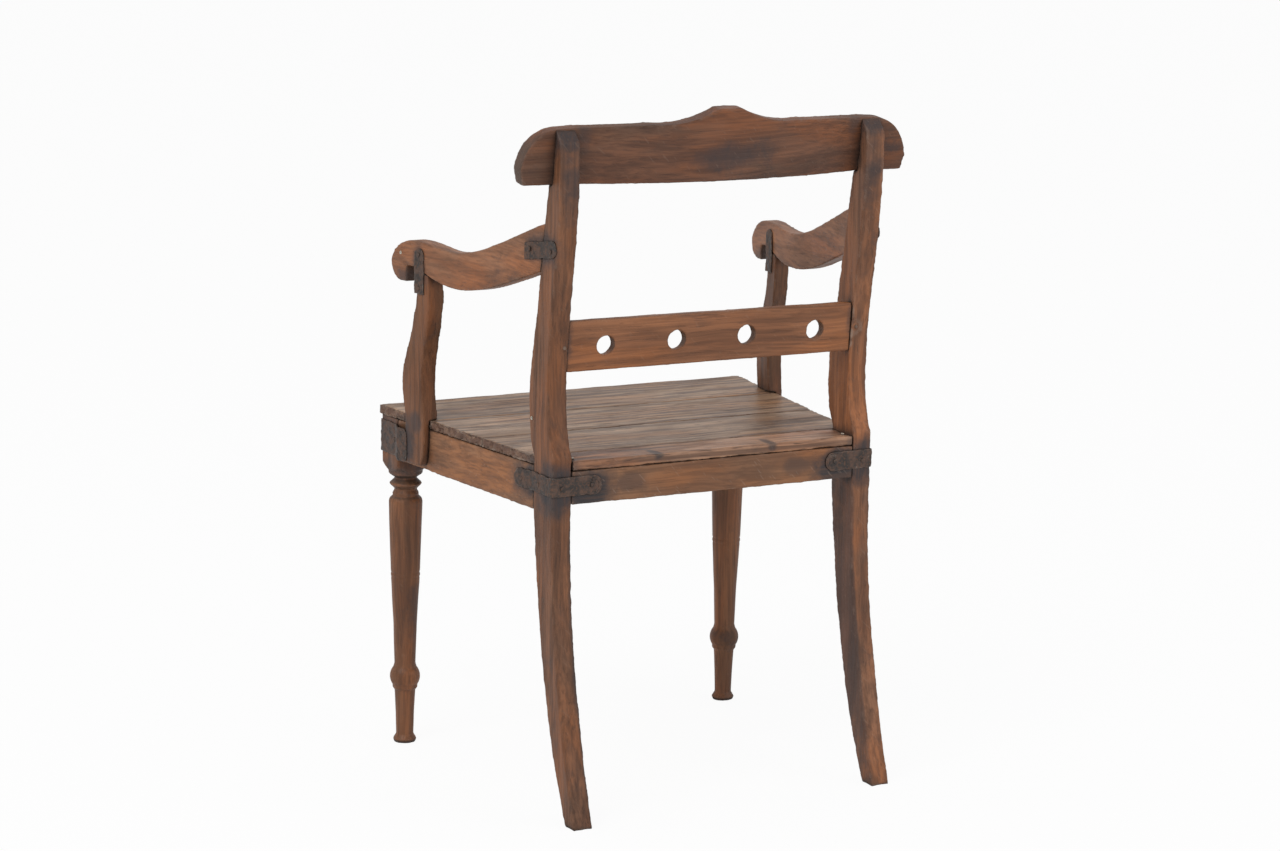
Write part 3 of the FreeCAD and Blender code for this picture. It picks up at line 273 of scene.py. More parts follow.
teakGrain = {
    "Patches": {"scale": (4, 17, 17), "detail": 3, "rough": 0.55, "fade": (0.36, 0.64)},
    "Warm": {"scale": (6, 24, 24), "detail": 3, "rough": 0.5, "fade": (0.44, 0.64),
             "shift": (3.1, 7.7, 1.9)},
    "Patina": {"scale": (7, 20, 20), "detail": 4, "rough": 0.62, "fade": (0.45, 0.66),
               "shift": (8.3, 2.2, 5.4)},
    "Coarse": {"scale": (3.5, 105, 105), "detail": 3, "rough": 0.55, "fade": (0.42, 0.63), "swayed": True},
    "Fine": {"scale": (8, 330, 330), "detail": 3, "rough": 0.6, "fade": (0.40, 0.64), "swayed": True},
    "Dashes": {"scale": (26, 330, 330), "detail": 2, "rough": 0.5, "fade": (0.60, 0.70), "swayed": True},
}
teakSway = {"scale": (3, 10, 10), "detail": 2, "amount": (0, 0.035, 0.035)}


def makeTeakGroup():
    # The grain runs along X of the incoming vector, in metres.
    tree, start, end = newGroup("agedTeak", [("Vector", "NodeSocketVector", None)], list(teakGrain))
    vector = start.outputs["Vector"]
    sway = noiseNode(tree, vector, teakSway["scale"], teakSway["detail"])
    swayed = vectorNode(tree, "MULTIPLY_ADD", sway.outputs["Color"], teakSway["amount"], vector)
    for label, layer in teakGrain.items():
        source = swayed if "swayed" in layer else vector
        if "shift" in layer:
            source = vectorNode(tree, "ADD", source, layer["shift"])
        tree.links.new(fadedNoise(tree, source, layer), end.inputs[label])
    return tree


# Settings for wear and painted shade: rub sets the arris mask for rubbing and painted arris shade; nook and
# uneven set grime with painted shade where pieces meet.
wearAndShade = {
    "rub": {"samples": 6, "fade": (0.50, 0.92)},
    "ragged": {"scale": 60, "detail": 4, "rough": 0.6, "fade": (0.44, 0.62)},
    "nook": {"samples": 8, "unevenness": 0.5, "fade": (0.62, 1.16)},
    "uneven": {"scale": 38, "detail": 4, "rough": 0.6},
    "smudge": {"scale": 15, "detail": 5, "rough": 0.66, "distortion": 0.4, "fade": (0.55, 0.72)},
    "scratch": {"scale": (30, 420, 420), "detail": 1, "rough": 0.5, "fade": (0.69, 0.72)},
    "slant": (0.5, 0.7, 0.45),   # radians, of the scratches
}


def makeWearAndShadeGroup():
    # Arrises rubbed by use and darkened as painted shade, grime with painted shade where pieces meet, smudges,
    # and short scratches.
    # Arris is the reach of the rubbing and of the painted arris shade, Reach that of the grime and painted
    # shade, in metres.
    tree, start, end = newGroup("wearAndShade", [
        ("Vector", "NodeSocketVector", None), ("Arris", "NodeSocketFloat", 0.004),
        ("Reach", "NodeSocketFloat", 0.02)], ["Edge", "Rubbed", "GrimeAndShade", "Smudge", "Scratches"])
    vector = start.outputs["Vector"]
    # Convex arrises, from occlusion inside the piece: they place the rubbing, and the output that paints shade
    # along them.
    corner = tree.nodes.new("ShaderNodeAmbientOcclusion")
    corner.samples = wearAndShade["rub"]["samples"]
    corner.inside = True
    corner.only_local = True
    tree.links.new(start.outputs["Arris"], corner.inputs["Distance"])
    edge = remap(tree, corner.outputs["AO"], *wearAndShade["rub"]["fade"], 1, 0)
    tree.links.new(edge, end.inputs["Edge"])
    rubbed = mathNode(tree, "MULTIPLY", edge, fadedNoise(tree, vector, wearAndShade["ragged"]))
    tree.links.new(rubbed, end.inputs["Rubbed"])
    # Painted shade: occlusion darkens where pieces meet, made blotchy by noise and given out as grime.
    nook = tree.nodes.new("ShaderNodeAmbientOcclusion")
    nook.samples = wearAndShade["nook"]["samples"]
    tree.links.new(start.outputs["Reach"], nook.inputs["Distance"])
    uneven = noiseNode(tree, vector, **wearAndShade["uneven"])
    blotches = mathNode(tree, "MULTIPLY", uneven.outputs["Fac"], wearAndShade["nook"]["unevenness"])
    shade = mathNode(tree, "ADD", nook.outputs["AO"], blotches)
    tree.links.new(remap(tree, shade, *wearAndShade["nook"]["fade"], 1, 0), end.inputs["GrimeAndShade"])
    tree.links.new(fadedNoise(tree, vector, wearAndShade["smudge"]), end.inputs["Smudge"])
    slant = tree.nodes.new("ShaderNodeVectorRotate")
    slant.rotation_type = "EULER_XYZ"
    slant.inputs["Rotation"].default_value = wearAndShade["slant"]
    tree.links.new(vector, slant.inputs["Vector"])
    tree.links.new(fadedNoise(tree, slant.outputs[0], wearAndShade["scratch"]), end.inputs["Scratches"])
    return tree


stainEdge = {"scale": 42, "detail": 4, "rough": 0.62, "raggedness": 1.2, "fade": (1.05, 1.72)}


def makeStainGroup():
    # The blue-black bleeding round old iron: one ragged ellipsoid, the same on both sides.
    tree, start, end = newGroup("ironStain", [
        ("Place", "NodeSocketVector", None), ("Centre", "NodeSocketVector", (0, 0, 0)),
        ("Spread", "NodeSocketVector", (1, 1, 1))], ["Mask"])
    split = tree.nodes.new("ShaderNodeSeparateXYZ")
    tree.links.new(start.outputs["Place"], split.inputs[0])
    joined = tree.nodes.new("ShaderNodeCombineXYZ")
    tree.links.new(mathNode(tree, "ABSOLUTE", split.outputs["X"]), joined.inputs["X"])
    tree.links.new(split.outputs["Y"], joined.inputs["Y"])
    tree.links.new(split.outputs["Z"], joined.inputs["Z"])
    offset = vectorNode(tree, "SUBTRACT", joined.outputs[0], start.outputs["Centre"])
    distance = vectorNode(tree, "LENGTH", vectorNode(tree, "DIVIDE", offset, start.outputs["Spread"]))
    ragged = noiseNode(tree, start.outputs["Place"], stainEdge["scale"], stainEdge["detail"],
                       stainEdge["rough"])
    rim = mathNode(tree, "MULTIPLY", ragged.outputs["Fac"], stainEdge["raggedness"])
    reach = mathNode(tree, "ADD", distance, rim)
    tree.links.new(remap(tree, reach, *stainEdge["fade"], 1, 0), end.inputs["Mask"])
    return tree


teakGroup = makeTeakGroup()
wearAndShadeGroup = makeWearAndShadeGroup()
stainGroup = makeStainGroup()


# Wood finishes: tones, then how strongly each effect shows

# edge is how strongly arrises are darkened as painted shade.
woodFinishes = {
    "frame": {"base": (0.185, 0.077, 0.037), "light": (0.309, 0.131, 0.062),
              "orange": (0.329, 0.115, 0.038), "dark": (0.059, 0.028, 0.017), "grey": (0.143, 0.090, 0.063),
              "end": (0.090, 0.056, 0.040), "pale": (0.40, 0.29, 0.22), "patina": 0.42, "coarse": 0.46,
              "fine": 0.34, "dashes": 0.38, "smudge": 0.35, "edge": 0.80, "rubbed": 0.45, "scratches": 0.09,
              "rough": 0.50},
    "sideRail": {"base": (0.223, 0.102, 0.050), "light": (0.345, 0.166, 0.080),
                 "orange": (0.371, 0.144, 0.051), "dark": (0.074, 0.035, 0.021),
                 "grey": (0.185, 0.116, 0.078), "end": (0.093, 0.056, 0.039), "pale": (0.45, 0.33, 0.25),
                 "patina": 0.30, "coarse": 0.34, "fine": 0.36, "dashes": 0.24, "smudge": 0.20, "edge": 0.60,
                 "rubbed": 0.55, "scratches": 0.19, "rough": 0.48},
    "backRail": {"base": (0.234, 0.093, 0.041), "light": (0.366, 0.150, 0.066),
                 "orange": (0.373, 0.130, 0.041), "dark": (0.076, 0.033, 0.018),
                 "grey": (0.169, 0.096, 0.062), "end": (0.102, 0.058, 0.039), "pale": (0.40, 0.27, 0.19),
                 "patina": 0.22, "coarse": 0.42, "fine": 0.34, "dashes": 0.32, "smudge": 0.22, "edge": 0.55,
                 "rubbed": 0.40, "scratches": 0.09, "rough": 0.48},
    "crest": {"base": (0.134, 0.056, 0.030), "light": (0.222, 0.095, 0.050),
              "orange": (0.238, 0.081, 0.029), "dark": (0.051, 0.025, 0.017), "grey": (0.097, 0.069, 0.052),
              "end": (0.081, 0.053, 0.039), "pale": (0.32, 0.22, 0.17), "patina": 0.50, "coarse": 0.42,
              "fine": 0.36, "dashes": 0.28, "smudge": 0.60, "edge": 0.40, "rubbed": 0.60, "scratches": 0.12,
              "rough": 0.46},
    "arm": {"base": (0.228, 0.092, 0.042), "light": (0.356, 0.157, 0.076), "orange": (0.363, 0.128, 0.046),
            "dark": (0.069, 0.033, 0.020), "grey": (0.220, 0.132, 0.086), "end": (0.121, 0.070, 0.047),
            "pale": (0.42, 0.33, 0.26), "patina": 0.45, "coarse": 0.38, "fine": 0.30, "dashes": 0.28,
            "smudge": 0.40, "edge": 0.50, "rubbed": 0.50, "scratches": 0.10, "rough": 0.44},
    "turned": {"base": (0.159, 0.066, 0.031), "light": (0.262, 0.109, 0.048),
               "orange": (0.270, 0.095, 0.034), "dark": (0.053, 0.026, 0.016),
               "grey": (0.113, 0.074, 0.050), "end": (0.086, 0.054, 0.036), "pale": (0.36, 0.25, 0.18),
               "patina": 0.30, "coarse": 0.40, "fine": 0.32, "dashes": 0.26, "smudge": 0.45, "edge": 0.50,
               "rubbed": 0.35, "scratches": 0.07, "rough": 0.46},
    "seat": {"base": (0.321, 0.190, 0.111), "light": (0.571, 0.377, 0.244), "orange": (0.470, 0.236, 0.109),
             "dark": (0.072, 0.041, 0.029), "grey": (0.292, 0.218, 0.171), "end": (0.123, 0.062, 0.042),
             "pale": (0.46, 0.37, 0.30), "patina": 0.42, "coarse": 0.70, "fine": 0.42, "dashes": 0.88,
             "smudge": 0.22, "edge": 0.40, "rubbed": 0.45, "scratches": 0.10, "rough": 0.40},
    "seatRear": {"base": (0.301, 0.151, 0.086), "light": (0.552, 0.311, 0.188),
                 "orange": (0.442, 0.181, 0.077), "dark": (0.065, 0.034, 0.024),
                 "grey": (0.282, 0.178, 0.128), "end": (0.122, 0.065, 0.045), "pale": (0.42, 0.32, 0.25),
                 "patina": 0.35, "coarse": 0.68, "fine": 0.44, "dashes": 0.78, "smudge": 0.30, "edge": 0.50,
                 "rubbed": 0.50, "scratches": 0.10, "rough": 0.42},
}

# Grime with painted shade where pieces meet: its colour, strength and reach; arris is the reach of the arris
# mask for rubbing and painted arris shade.
grime = {"colour": (0.022, 0.017, 0.015), "strength": 0.80, "reach": 0.018, "arris": 0.0035}
stainColour = (0.034, 0.033, 0.037)
woodLook = {
    "warm": 0.7,                # strength of the orange patches
    "endGrain": 0.8,            # strength on faces that cross the grain
    "endFade": (0.55, 0.85),    # how squarely they have to cross it
    "stainThrough": 0.78,       # how much of a stain stays over the fine streaks
    "polished": 0.04,           # what bare wood takes off the roughness
    "dulled": 0.12,             # what patina adds to it
    "specular": 0.30,
    "fineGroove": 0.5,          # the fine streaks' share of the bump
    "bump": 0.6,
    "depth": 0.0005,
}
grainTurns = {"X": (0, 0, 0), "Y": (0, 0, -math.pi / 2), "Z": (0, math.pi / 2, 0)}
grainAxes = {"X": (1, 0, 0), "Y": (0, 1, 0), "Z": (0, 0, 1)}

# Where iron has blackened the wood, and where the rear legs' lower inner faces are darker: centre and spread in
# metres, left side, then strength

stainPlaces = {
    "rear_leg": [((0.216, 0.162, 0.408), (0.040, 0.046, 0.040), 0.92),
                 ((0.228, 0.150, 0.697), (0.022, 0.030, 0.024), 0.85),
                 ((0.214, 0.165, 0.840), (0.030, 0.040, 0.030), 0.85),
                 ((0.212, 0.194, 0.780), (0.026, 0.020, 0.080), 0.75),
                 # Darker over the whole lower inner face of each rear leg, below the seat.
                 ((0.2005, 0.160, 0.200), (0.006, 0.200, 0.260), 0.65)],
    "rear_seat_rail": [((0.182, 0.172, 0.405), (0.050, 0.030, 0.034), 0.95),
                       ((0.120, 0.172, 0.410), (0.026, 0.020, 0.014), 0.50)],
    "side_rail": [((0.233, 0.112, 0.411), (0.030, 0.046, 0.030), 0.95),
                  ((0.266, -0.205, 0.408), (0.03, 0.020, 0.035), 0.75)],
    "seat_board_rear": [((0.200, 0.150, 0.432), (0.022, 0.030, 0.014), 0.70),
                        ((0.082, 0.160, 0.440), (0.009, 0.024, 0.01), 0.80)],
    "seat_board_3": [((0.236, 0.110, 0.436), (0.018, 0.022, 0.014), 0.70)],
    "seat_board_1": [((0.262, -0.150, 0.436), (0.016, 0.050, 0.014), 0.60)],
    "front_leg": [((0.250, -0.205, 0.420), (0.036, 0.040, 0.030), 0.92),
                  ((0.2435, -0.2105, 0.372), (0.034, 0.034, 0.020), 0.80)],
    "arm_support": [((0.268, -0.150, 0.415), (0.030, 0.028, 0.042), 0.95),
                    ((0.270, -0.128, 0.444), (0.02, 0.016, 0.020), 0.70),
                    ((0.262, -0.165, 0.470), (0.03, 0.014, 0.060), 0.60),
                    ((0.268, -0.125, 0.632), (0.03, 0.030, 0.022), 0.60)],
    "arm_": [((0.268, -0.121, 0.650), (0.022, 0.016, 0.030), 0.75),
             ((0.232, 0.132, 0.698), (0.018, 0.036, 0.020), 0.80),
             ((0.262, -0.150, 0.628), (0.03, 0.034, 0.014), 0.70)],
    "crest_rail": [((0.0, 0.185, 0.805), (0.055, 0.030, 0.020), 0.60),
                   ((0.190, 0.185, 0.835), (0.012, 0.03, 0.035), 0.55)],
    "pierced_back_rail": [((0.205, 0.160, 0.585), (0.012, 0.03, 0.03), 0.55)],
}


def longestStart(node, table):
    # The entry whose key is the longest beginning of the node's name.
    starts = [start for start in table if node.startswith(start)]
    return table[max(starts, key=len)] if starts else None


def woodMaterial(node, style, offset):
    # along is the axis that the grain follows; offset moves the piece about in the log.
    along = style["along"]
    depth = style.get("tone", 1)
    tones = {key: tuple(part * depth for part in value) if isinstance(value, tuple) else value
             for key, value in woodFinishes[style["finish"]].items()}
    material, tree, place, shader = newMaterial("wood." + node)
    mapping = tree.nodes.new("ShaderNodeMapping")
    mapping.inputs["Location"].default_value = offset
    mapping.inputs["Rotation"].default_value = grainTurns[along]
    tree.links.new(place.outputs["Object"], mapping.inputs["Vector"])
    teak = placeGroup(tree, teakGroup, links={"Vector": mapping.outputs["Vector"]}).outputs
    wearShade = placeGroup(tree, wearAndShadeGroup, {"Arris": grime["arris"], "Reach": grime["reach"]},
                     {"Vector": place.outputs["Object"]}).outputs
    colour = mixColour(tree, teak["Patches"], 1, tones["base"], tones["light"])
    colour = mixColour(tree, teak["Warm"], woodLook["warm"], colour, tones["orange"])
    colour = mixColour(tree, teak["Patina"], tones["patina"], colour, tones["grey"])
    for layer in ("Coarse", "Fine", "Dashes"):
        colour = mixColour(tree, teak[layer], tones[layer.lower()], colour, tones["dark"])
    colour = mixColour(tree, wearShade["Smudge"], tones["smudge"], colour, stainColour)
    facing = vectorNode(tree, "DOT_PRODUCT", place.outputs["Normal"], grainAxes[along])
    across = remap(tree, mathNode(tree, "ABSOLUTE", facing), *woodLook["endFade"])
    colour = mixColour(tree, across, woodLook["endGrain"], colour, tones["end"])
    stained = None
    for centre, spread, strength in longestStart(node, stainPlaces) or []:
        spot = placeGroup(tree, stainGroup, {"Centre": centre, "Spread": spread},
                          {"Place": place.outputs["Object"]})
        mask = mathNode(tree, "MULTIPLY", spot.outputs["Mask"], strength)
        stained = mask if stained is None else mathNode(tree, "MAXIMUM", stained, mask)
    if stained is not None:
        streaks = remap(tree, teak["Fine"], 0, 1, 1, woodLook["stainThrough"])
        colour = mixColour(tree, mathNode(tree, "MULTIPLY", stained, streaks), 1, colour, stainColour)
    # Painted shade: convex arrises darkened towards the dark tone.
    colour = mixColour(tree, wearShade["Edge"], tones["edge"], colour, tones["dark"])
    colour = mixColour(tree, wearShade["Rubbed"], tones["rubbed"], colour, tones["pale"])
    colour = mixColour(tree, wearShade["Scratches"], tones["scratches"], colour, tones["pale"])
    # Grime with painted shade: darkened where pieces meet.
    colour = mixColour(tree, wearShade["GrimeAndShade"], style.get("grime", grime["strength"]), colour, grime["colour"])
    tree.links.new(colour, shader.inputs["Base Color"])
    roughness = remap(tree, teak["Patina"], 0, 1, tones["rough"] - woodLook["polished"],
                      tones["rough"] + woodLook["dulled"])
    tree.links.new(roughness, shader.inputs["Roughness"])
    shader.inputs["Specular IOR Level"].default_value = woodLook["specular"]
    fine = mathNode(tree, "MULTIPLY", teak["Fine"], woodLook["fineGroove"])
    grooves = mathNode(tree, "ADD", fine, teak["Dashes"])
    addBump(tree, shader, mathNode(tree, "MULTIPLY", grooves, -1), woodLook)
    return material


# Iron: hand-forged, blackened, with rust, rubbed rims, and grime with painted shade in its nooks

ironLook = {
    "black": (0.046, 0.037, 0.033), "brown": (0.125, 0.077, 0.058), "rust": (0.200, 0.093, 0.050),
    "rubbed": (0.26, 0.22, 0.19),
    "wearShade": {"Arris": 0.0016, "Reach": 0.004},
    "coarse": {"scale": 85, "detail": 5, "rough": 0.65},
    "fine": {"scale": 360, "detail": 3, "rough": 0.6},
    "brownFade": (0.40, 0.64), "rustFade": (0.50, 0.68), "roughFade": (0.3, 0.7),
    "rustStrength": 0.5, "rubStrength": 0.75, "grimeShadeStrength": 0.7,
    "roughness": (0.40, 0.66), "metallic": 0.45, "bump": 0.8, "depth": 0.0012, "fineDent": 0.35,
}
nailLook = {
    "dull": (0.30, 0.25, 0.20), "bright": (0.72, 0.66, 0.56),
    "speckle": {"scale": 500, "detail": 3, "rough": 0.6},
    "brightFade": (0.42, 0.60), "roughFade": (0.4, 0.6), "roughness": (0.5, 0.28), "metallic": 0.75,
}


def ironMaterial():
    material, tree, coordinates, shader = newMaterial("blackenedIron")
    place = coordinates.outputs["Object"]
    wearShade = placeGroup(tree, wearAndShadeGroup, ironLook["wearShade"], {"Vector": place}).outputs
    coarse = noiseNode(tree, place, **ironLook["coarse"]).outputs["Fac"]
    fine = noiseNode(tree, place, **ironLook["fine"]).outputs["Fac"]
    brown = remap(tree, coarse, *ironLook["brownFade"])
    colour = mixColour(tree, brown, 1, ironLook["black"], ironLook["brown"])
    rust = remap(tree, fine, *ironLook["rustFade"])
    colour = mixColour(tree, rust, ironLook["rustStrength"], colour, ironLook["rust"])
    colour = mixColour(tree, wearShade["Rubbed"], ironLook["rubStrength"], colour, ironLook["rubbed"])
    # Grime with painted shade in the iron's nooks.
    colour = mixColour(tree, wearShade["GrimeAndShade"], ironLook["grimeShadeStrength"], colour, grime["colour"])
    tree.links.new(colour, shader.inputs["Base Color"])
    roughness = remap(tree, coarse, *ironLook["roughFade"], *ironLook["roughness"])
    tree.links.new(roughness, shader.inputs["Roughness"])
    shader.inputs["Metallic"].default_value = ironLook["metallic"]
    dents = mathNode(tree, "ADD", coarse, mathNode(tree, "MULTIPLY", fine, ironLook["fineDent"]))
    addBump(tree, shader, dents, ironLook)
    return material


def brightNailMaterial():
    material, tree, place, shader = newMaterial("rubbedNail")
    speckle = noiseNode(tree, place.outputs["Object"], **nailLook["speckle"]).outputs["Fac"]
    bright = remap(tree, speckle, *nailLook["brightFade"])
    colour = mixColour(tree, bright, 1, nailLook["dull"], nailLook["bright"])
    tree.links.new(colour, shader.inputs["Base Color"])
    roughness = remap(tree, speckle, *nailLook["roughFade"], *nailLook["roughness"])
    tree.links.new(roughness, shader.inputs["Roughness"])
    shader.inputs["Metallic"].default_value = nailLook["metallic"]
    return material


# Worn copies of the CAD pieces: rubbed arrises, slightly uneven faces, broken board ends.
# Lengths are in metres; round is the number of smoothing passes.

wornPieces = {
    "rear_leg_left": {"finish": "frame", "along": "Z", "tone": 0.82, "voxel": 0.0014, "round": 5,
                      "uneven": 0.0006, "nicks": 0.0012},
    "rear_leg_right": {"finish": "frame", "along": "Z", "tone": 1.18, "voxel": 0.0014, "round": 5,
                       "uneven": 0.0006, "nicks": 0.0012},
    "front_leg": {"finish": "turned", "along": "Z", "voxel": 0.0010, "round": 2, "uneven": 0.0003,
                  "nicks": 0.0006},
    "side_rail": {"finish": "sideRail", "along": "Y", "voxel": 0.0016, "round": 2, "uneven": 0.0008,
                  "nicks": 0.0014},
    "rear_seat_rail": {"finish": "sideRail", "along": "X", "tone": 0.95, "voxel": 0.0016, "round": 2,
                       "uneven": 0.0007, "nicks": 0.0014},
    "front_seat_rail": {"finish": "frame", "along": "X", "voxel": 0.0018, "round": 2, "uneven": 0.0007,
                        "nicks": 0.0014},
    # The seat boards take a weaker grime with painted shade where pieces meet.
    "seat_board_rear": {"finish": "seatRear", "along": "X", "voxel": 0.0014, "round": 1, "uneven": 0.0006,
                        "nicks": 0.0016, "ends": 0.004, "grime": 0.6},
    "seat_board": {"finish": "seat", "along": "X", "voxel": 0.0015, "round": 1, "uneven": 0.0006,
                   "nicks": 0.0012, "ends": 0.005, "grime": 0.45},
    "crest_rail": {"finish": "crest", "along": "X", "voxel": 0.0014, "round": 4, "uneven": 0.0006,
                   "nicks": 0.0010},
    "pierced_back_rail": {"finish": "backRail", "along": "X", "voxel": 0.0011, "round": 4, "uneven": 0.0005,
                          "nicks": 0.0010},
    "arm_support": {"finish": "turned", "along": "Z", "tone": 0.82, "voxel": 0.0012, "round": 4,
                    "uneven": 0.0006, "nicks": 0.0010},
    "arm_left": {"finish": "arm", "along": "Y", "voxel": 0.0013, "round": 5, "uneven": 0.0006,
                 "nicks": 0.0010},
    "arm_right": {"finish": "arm", "along": "Y", "voxel": 0.0013, "round": 5, "uneven": 0.0006,
                  "nicks": 0.0010},
    "back_rail_pegs": {"finish": "frame", "along": "Y", "voxel": 0.0007, "round": 1, "uneven": 0.0002,
                       "nicks": 0.0003},
    "crest_pegs": {"finish": "crest", "along": "Y", "voxel": 0.0007, "round": 1, "uneven": 0.0002,
                   "nicks": 0.0003},
    "rear_corner_strap": {"voxel": 0.0007, "round": 3, "uneven": 0.0007, "nicks": 0.0008, "swell": 0.0003},
    "front_corner_strap": {"voxel": 0.0008, "round": 3, "uneven": 0.0007, "nicks": 0.0008, "swell": 0.0003},
    "arm_joint_strap": {"voxel": 0.0006, "round": 3, "uneven": 0.0006, "nicks": 0.0006, "swell": 0.0003},
    "arm_outer_plate": {"voxel": 0.0006, "round": 3, "uneven": 0.0006, "nicks": 0.0006, "swell": 0.0003},
    "arm_inner_plate": {"voxel": 0.0006, "round": 3, "uneven": 0.0006, "nicks": 0.0006, "swell": 0.0003},
}


wearing = {
    "quickVoxel": 1.7,
    "strayMargin": 0.002,         # what lies further outside the node's box is another piece's
    "mergeDistance": 1e-5,
    "flatAngle": 0.5,             # degrees
    "arrisBend": (60, 160),       # per metre: where an arris starts, and the span to its full weight
    "endFacing": (0.25, 0.4),     # the same for how far a face looks along X
    "weightSteps": 10,
    "smoothing": 0.5,
    "nickLevel": 0.62,            # above one half, more wood is lost than gained
    "brokenLevel": 0.72,
    "logStep": 0.37,              # how far apart the pieces lie in the log
}


def cloudTexture(name, size, depth):
    texture = bpy.data.textures.new(name, "CLOUDS")
    texture.noise_scale = size
    texture.noise_depth = depth
    return texture


unevenTexture = cloudTexture("unevenFace", 0.045, 1)
hammerTexture = cloudTexture("hammerMarks", 0.006, 1)
nickTexture = cloudTexture("edgeNicks", 0.012, 3)
brokenTexture = cloudTexture("brokenEnds", 0.007, 3)


def applyModifier(piece, kind, **settings):
    modifier = piece.modifiers.new(kind.lower(), kind)
    for key, value in settings.items():
        setattr(modifier, key, value)
    with bpy.context.temp_override(object=piece, active_object=piece, selected_objects=[piece]):
        bpy.ops.object.modifier_apply(modifier=modifier.name)


def roughen(piece, texture, depth, level=0.5, **settings):
    applyModifier(piece, "DISPLACE", texture=texture, texture_coords="LOCAL", direction="NORMAL",
                  strength=depth * 2, mid_level=level, **settings)


def readVectors(collection, field, width=3, kind=float):
    values = np.empty(len(collection) * width, dtype=kind)
    collection.foreach_get(field, values)
    return values.reshape(-1, width)


def weighVertices(piece, name, weight):
    group = piece.vertex_groups.new(name=name)
    steps = wearing["weightSteps"]
    for level in range(1, steps + 1):
        chosen = np.nonzero((weight > (level - 1) / steps) & (weight <= level / steps))[0]
        if len(chosen):
            group.add(chosen.tolist(), level / steps, "REPLACE")


def markArrises(piece):
    # Strong on convex arrises.
    mesh = piece.data
    places = readVectors(mesh.vertices, "co")
    normals = readVectors(mesh.vertices, "normal")
    ends = readVectors(mesh.edges, "vertices", 2, int)
    step = places[ends[:, 1]] - places[ends[:, 0]]
    length = np.linalg.norm(step, axis=1) + 1e-9
    bend = np.einsum("ij,ij->i", normals[ends[:, 1]] - normals[ends[:, 0]], step) / (length * length)
    total = np.zeros(len(places))
    ways = np.zeros(len(places))
    for side in (0, 1):
        np.add.at(total, ends[:, side], bend)
        np.add.at(ways, ends[:, side], 1)
    start, span = wearing["arrisBend"]
    weighVertices(piece, "arris", np.clip((total / np.maximum(ways, 1) - start) / span, 0, 1))


def markEnds(piece):
    # Strong on the faces that look along X.
    normals = readVectors(piece.data.vertices, "normal")
    start, span = wearing["endFacing"]
    weighVertices(piece, "ends", np.clip((np.abs(normals[:, 0]) - start) / span, 0, 1))


def copyNode(node, name, fillers=()):
    # Fillers are the pegs that run through a piece; they close its peg holes.
    piece = bpy.data.objects.new(name, nodes[node].data.copy())
    bpy.context.scene.collection.objects.link(piece)
    low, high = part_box(node)
    margin = wearing["strayMargin"]
    merge = bmesh.new()
    merge.from_mesh(piece.data)
    for filler in fillers:
        merge.from_mesh(nodes[filler].data)
    strays = [point for point in merge.verts if point.co.x < low[0] - margin or point.co.x > high[0] + margin]
    bmesh.ops.delete(merge, geom=strays, context="VERTS")
    bmesh.ops.remove_doubles(merge, verts=merge.verts, dist=wearing["mergeDistance"])
    bmesh.ops.dissolve_limit(merge, angle_limit=math.radians(wearing["flatAngle"]), verts=merge.verts,
                             edges=merge.edges)
    merge.to_mesh(piece.data)
    merge.free()
    piece.data.materials.clear()
    if piece.data.has_custom_normals:
        bpy.context.view_layer.objects.active = piece
        bpy.ops.mesh.customdata_custom_splitnormals_clear()
    return piece


def wornCopy(node, style, seed, iron):
    fillers = ("back_rail_pegs", "crest_pegs") if node.startswith("rear_leg") else ()
    piece = copyNode(node, "worn." + node, fillers)
    coarser = 1
    wooden = "finish" in style
    applyModifier(piece, "REMESH", mode="VOXEL", voxel_size=style["voxel"] * coarser, use_smooth_shade=True)
    if "ends" in style:
        markEnds(piece)
        roughen(piece, brokenTexture, style["ends"], wearing["brokenLevel"], vertex_group="ends")
    applyModifier(piece, "SMOOTH", factor=wearing["smoothing"], iterations=style["round"])
    markArrises(piece)
    roughen(piece, unevenTexture if wooden else hammerTexture, style["uneven"])
    roughen(piece, nickTexture, style["nicks"], wearing["nickLevel"], vertex_group="arris")
    if "swell" in style:
        applyModifier(piece, "DISPLACE", strength=style["swell"], mid_level=0)
    offset = tuple(wearing["logStep"] * ((seed * stride) % 7 - 3) for stride in (3, 5, 2))
    material = woodMaterial(node, style, offset) if wooden else iron
    piece.data.materials.append(material)
    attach(piece, "root")
    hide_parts(node)
    return piece


def wearPieces(iron):
    triangles = 0
    for seed, node in enumerate(sorted(nodes), 1):
        piece = wornCopy(node, longestStart(node, wornPieces), seed, iron)
        triangles += 2 * len(piece.data.polygons)
        print("worn piece:", node, 2 * len(piece.data.polygons), "triangles")
    print("worn pieces in all:", triangles, "triangles")


# Nails: hand-cut heads, driven through the straps and boards. Places are on the left side, normals outwards.

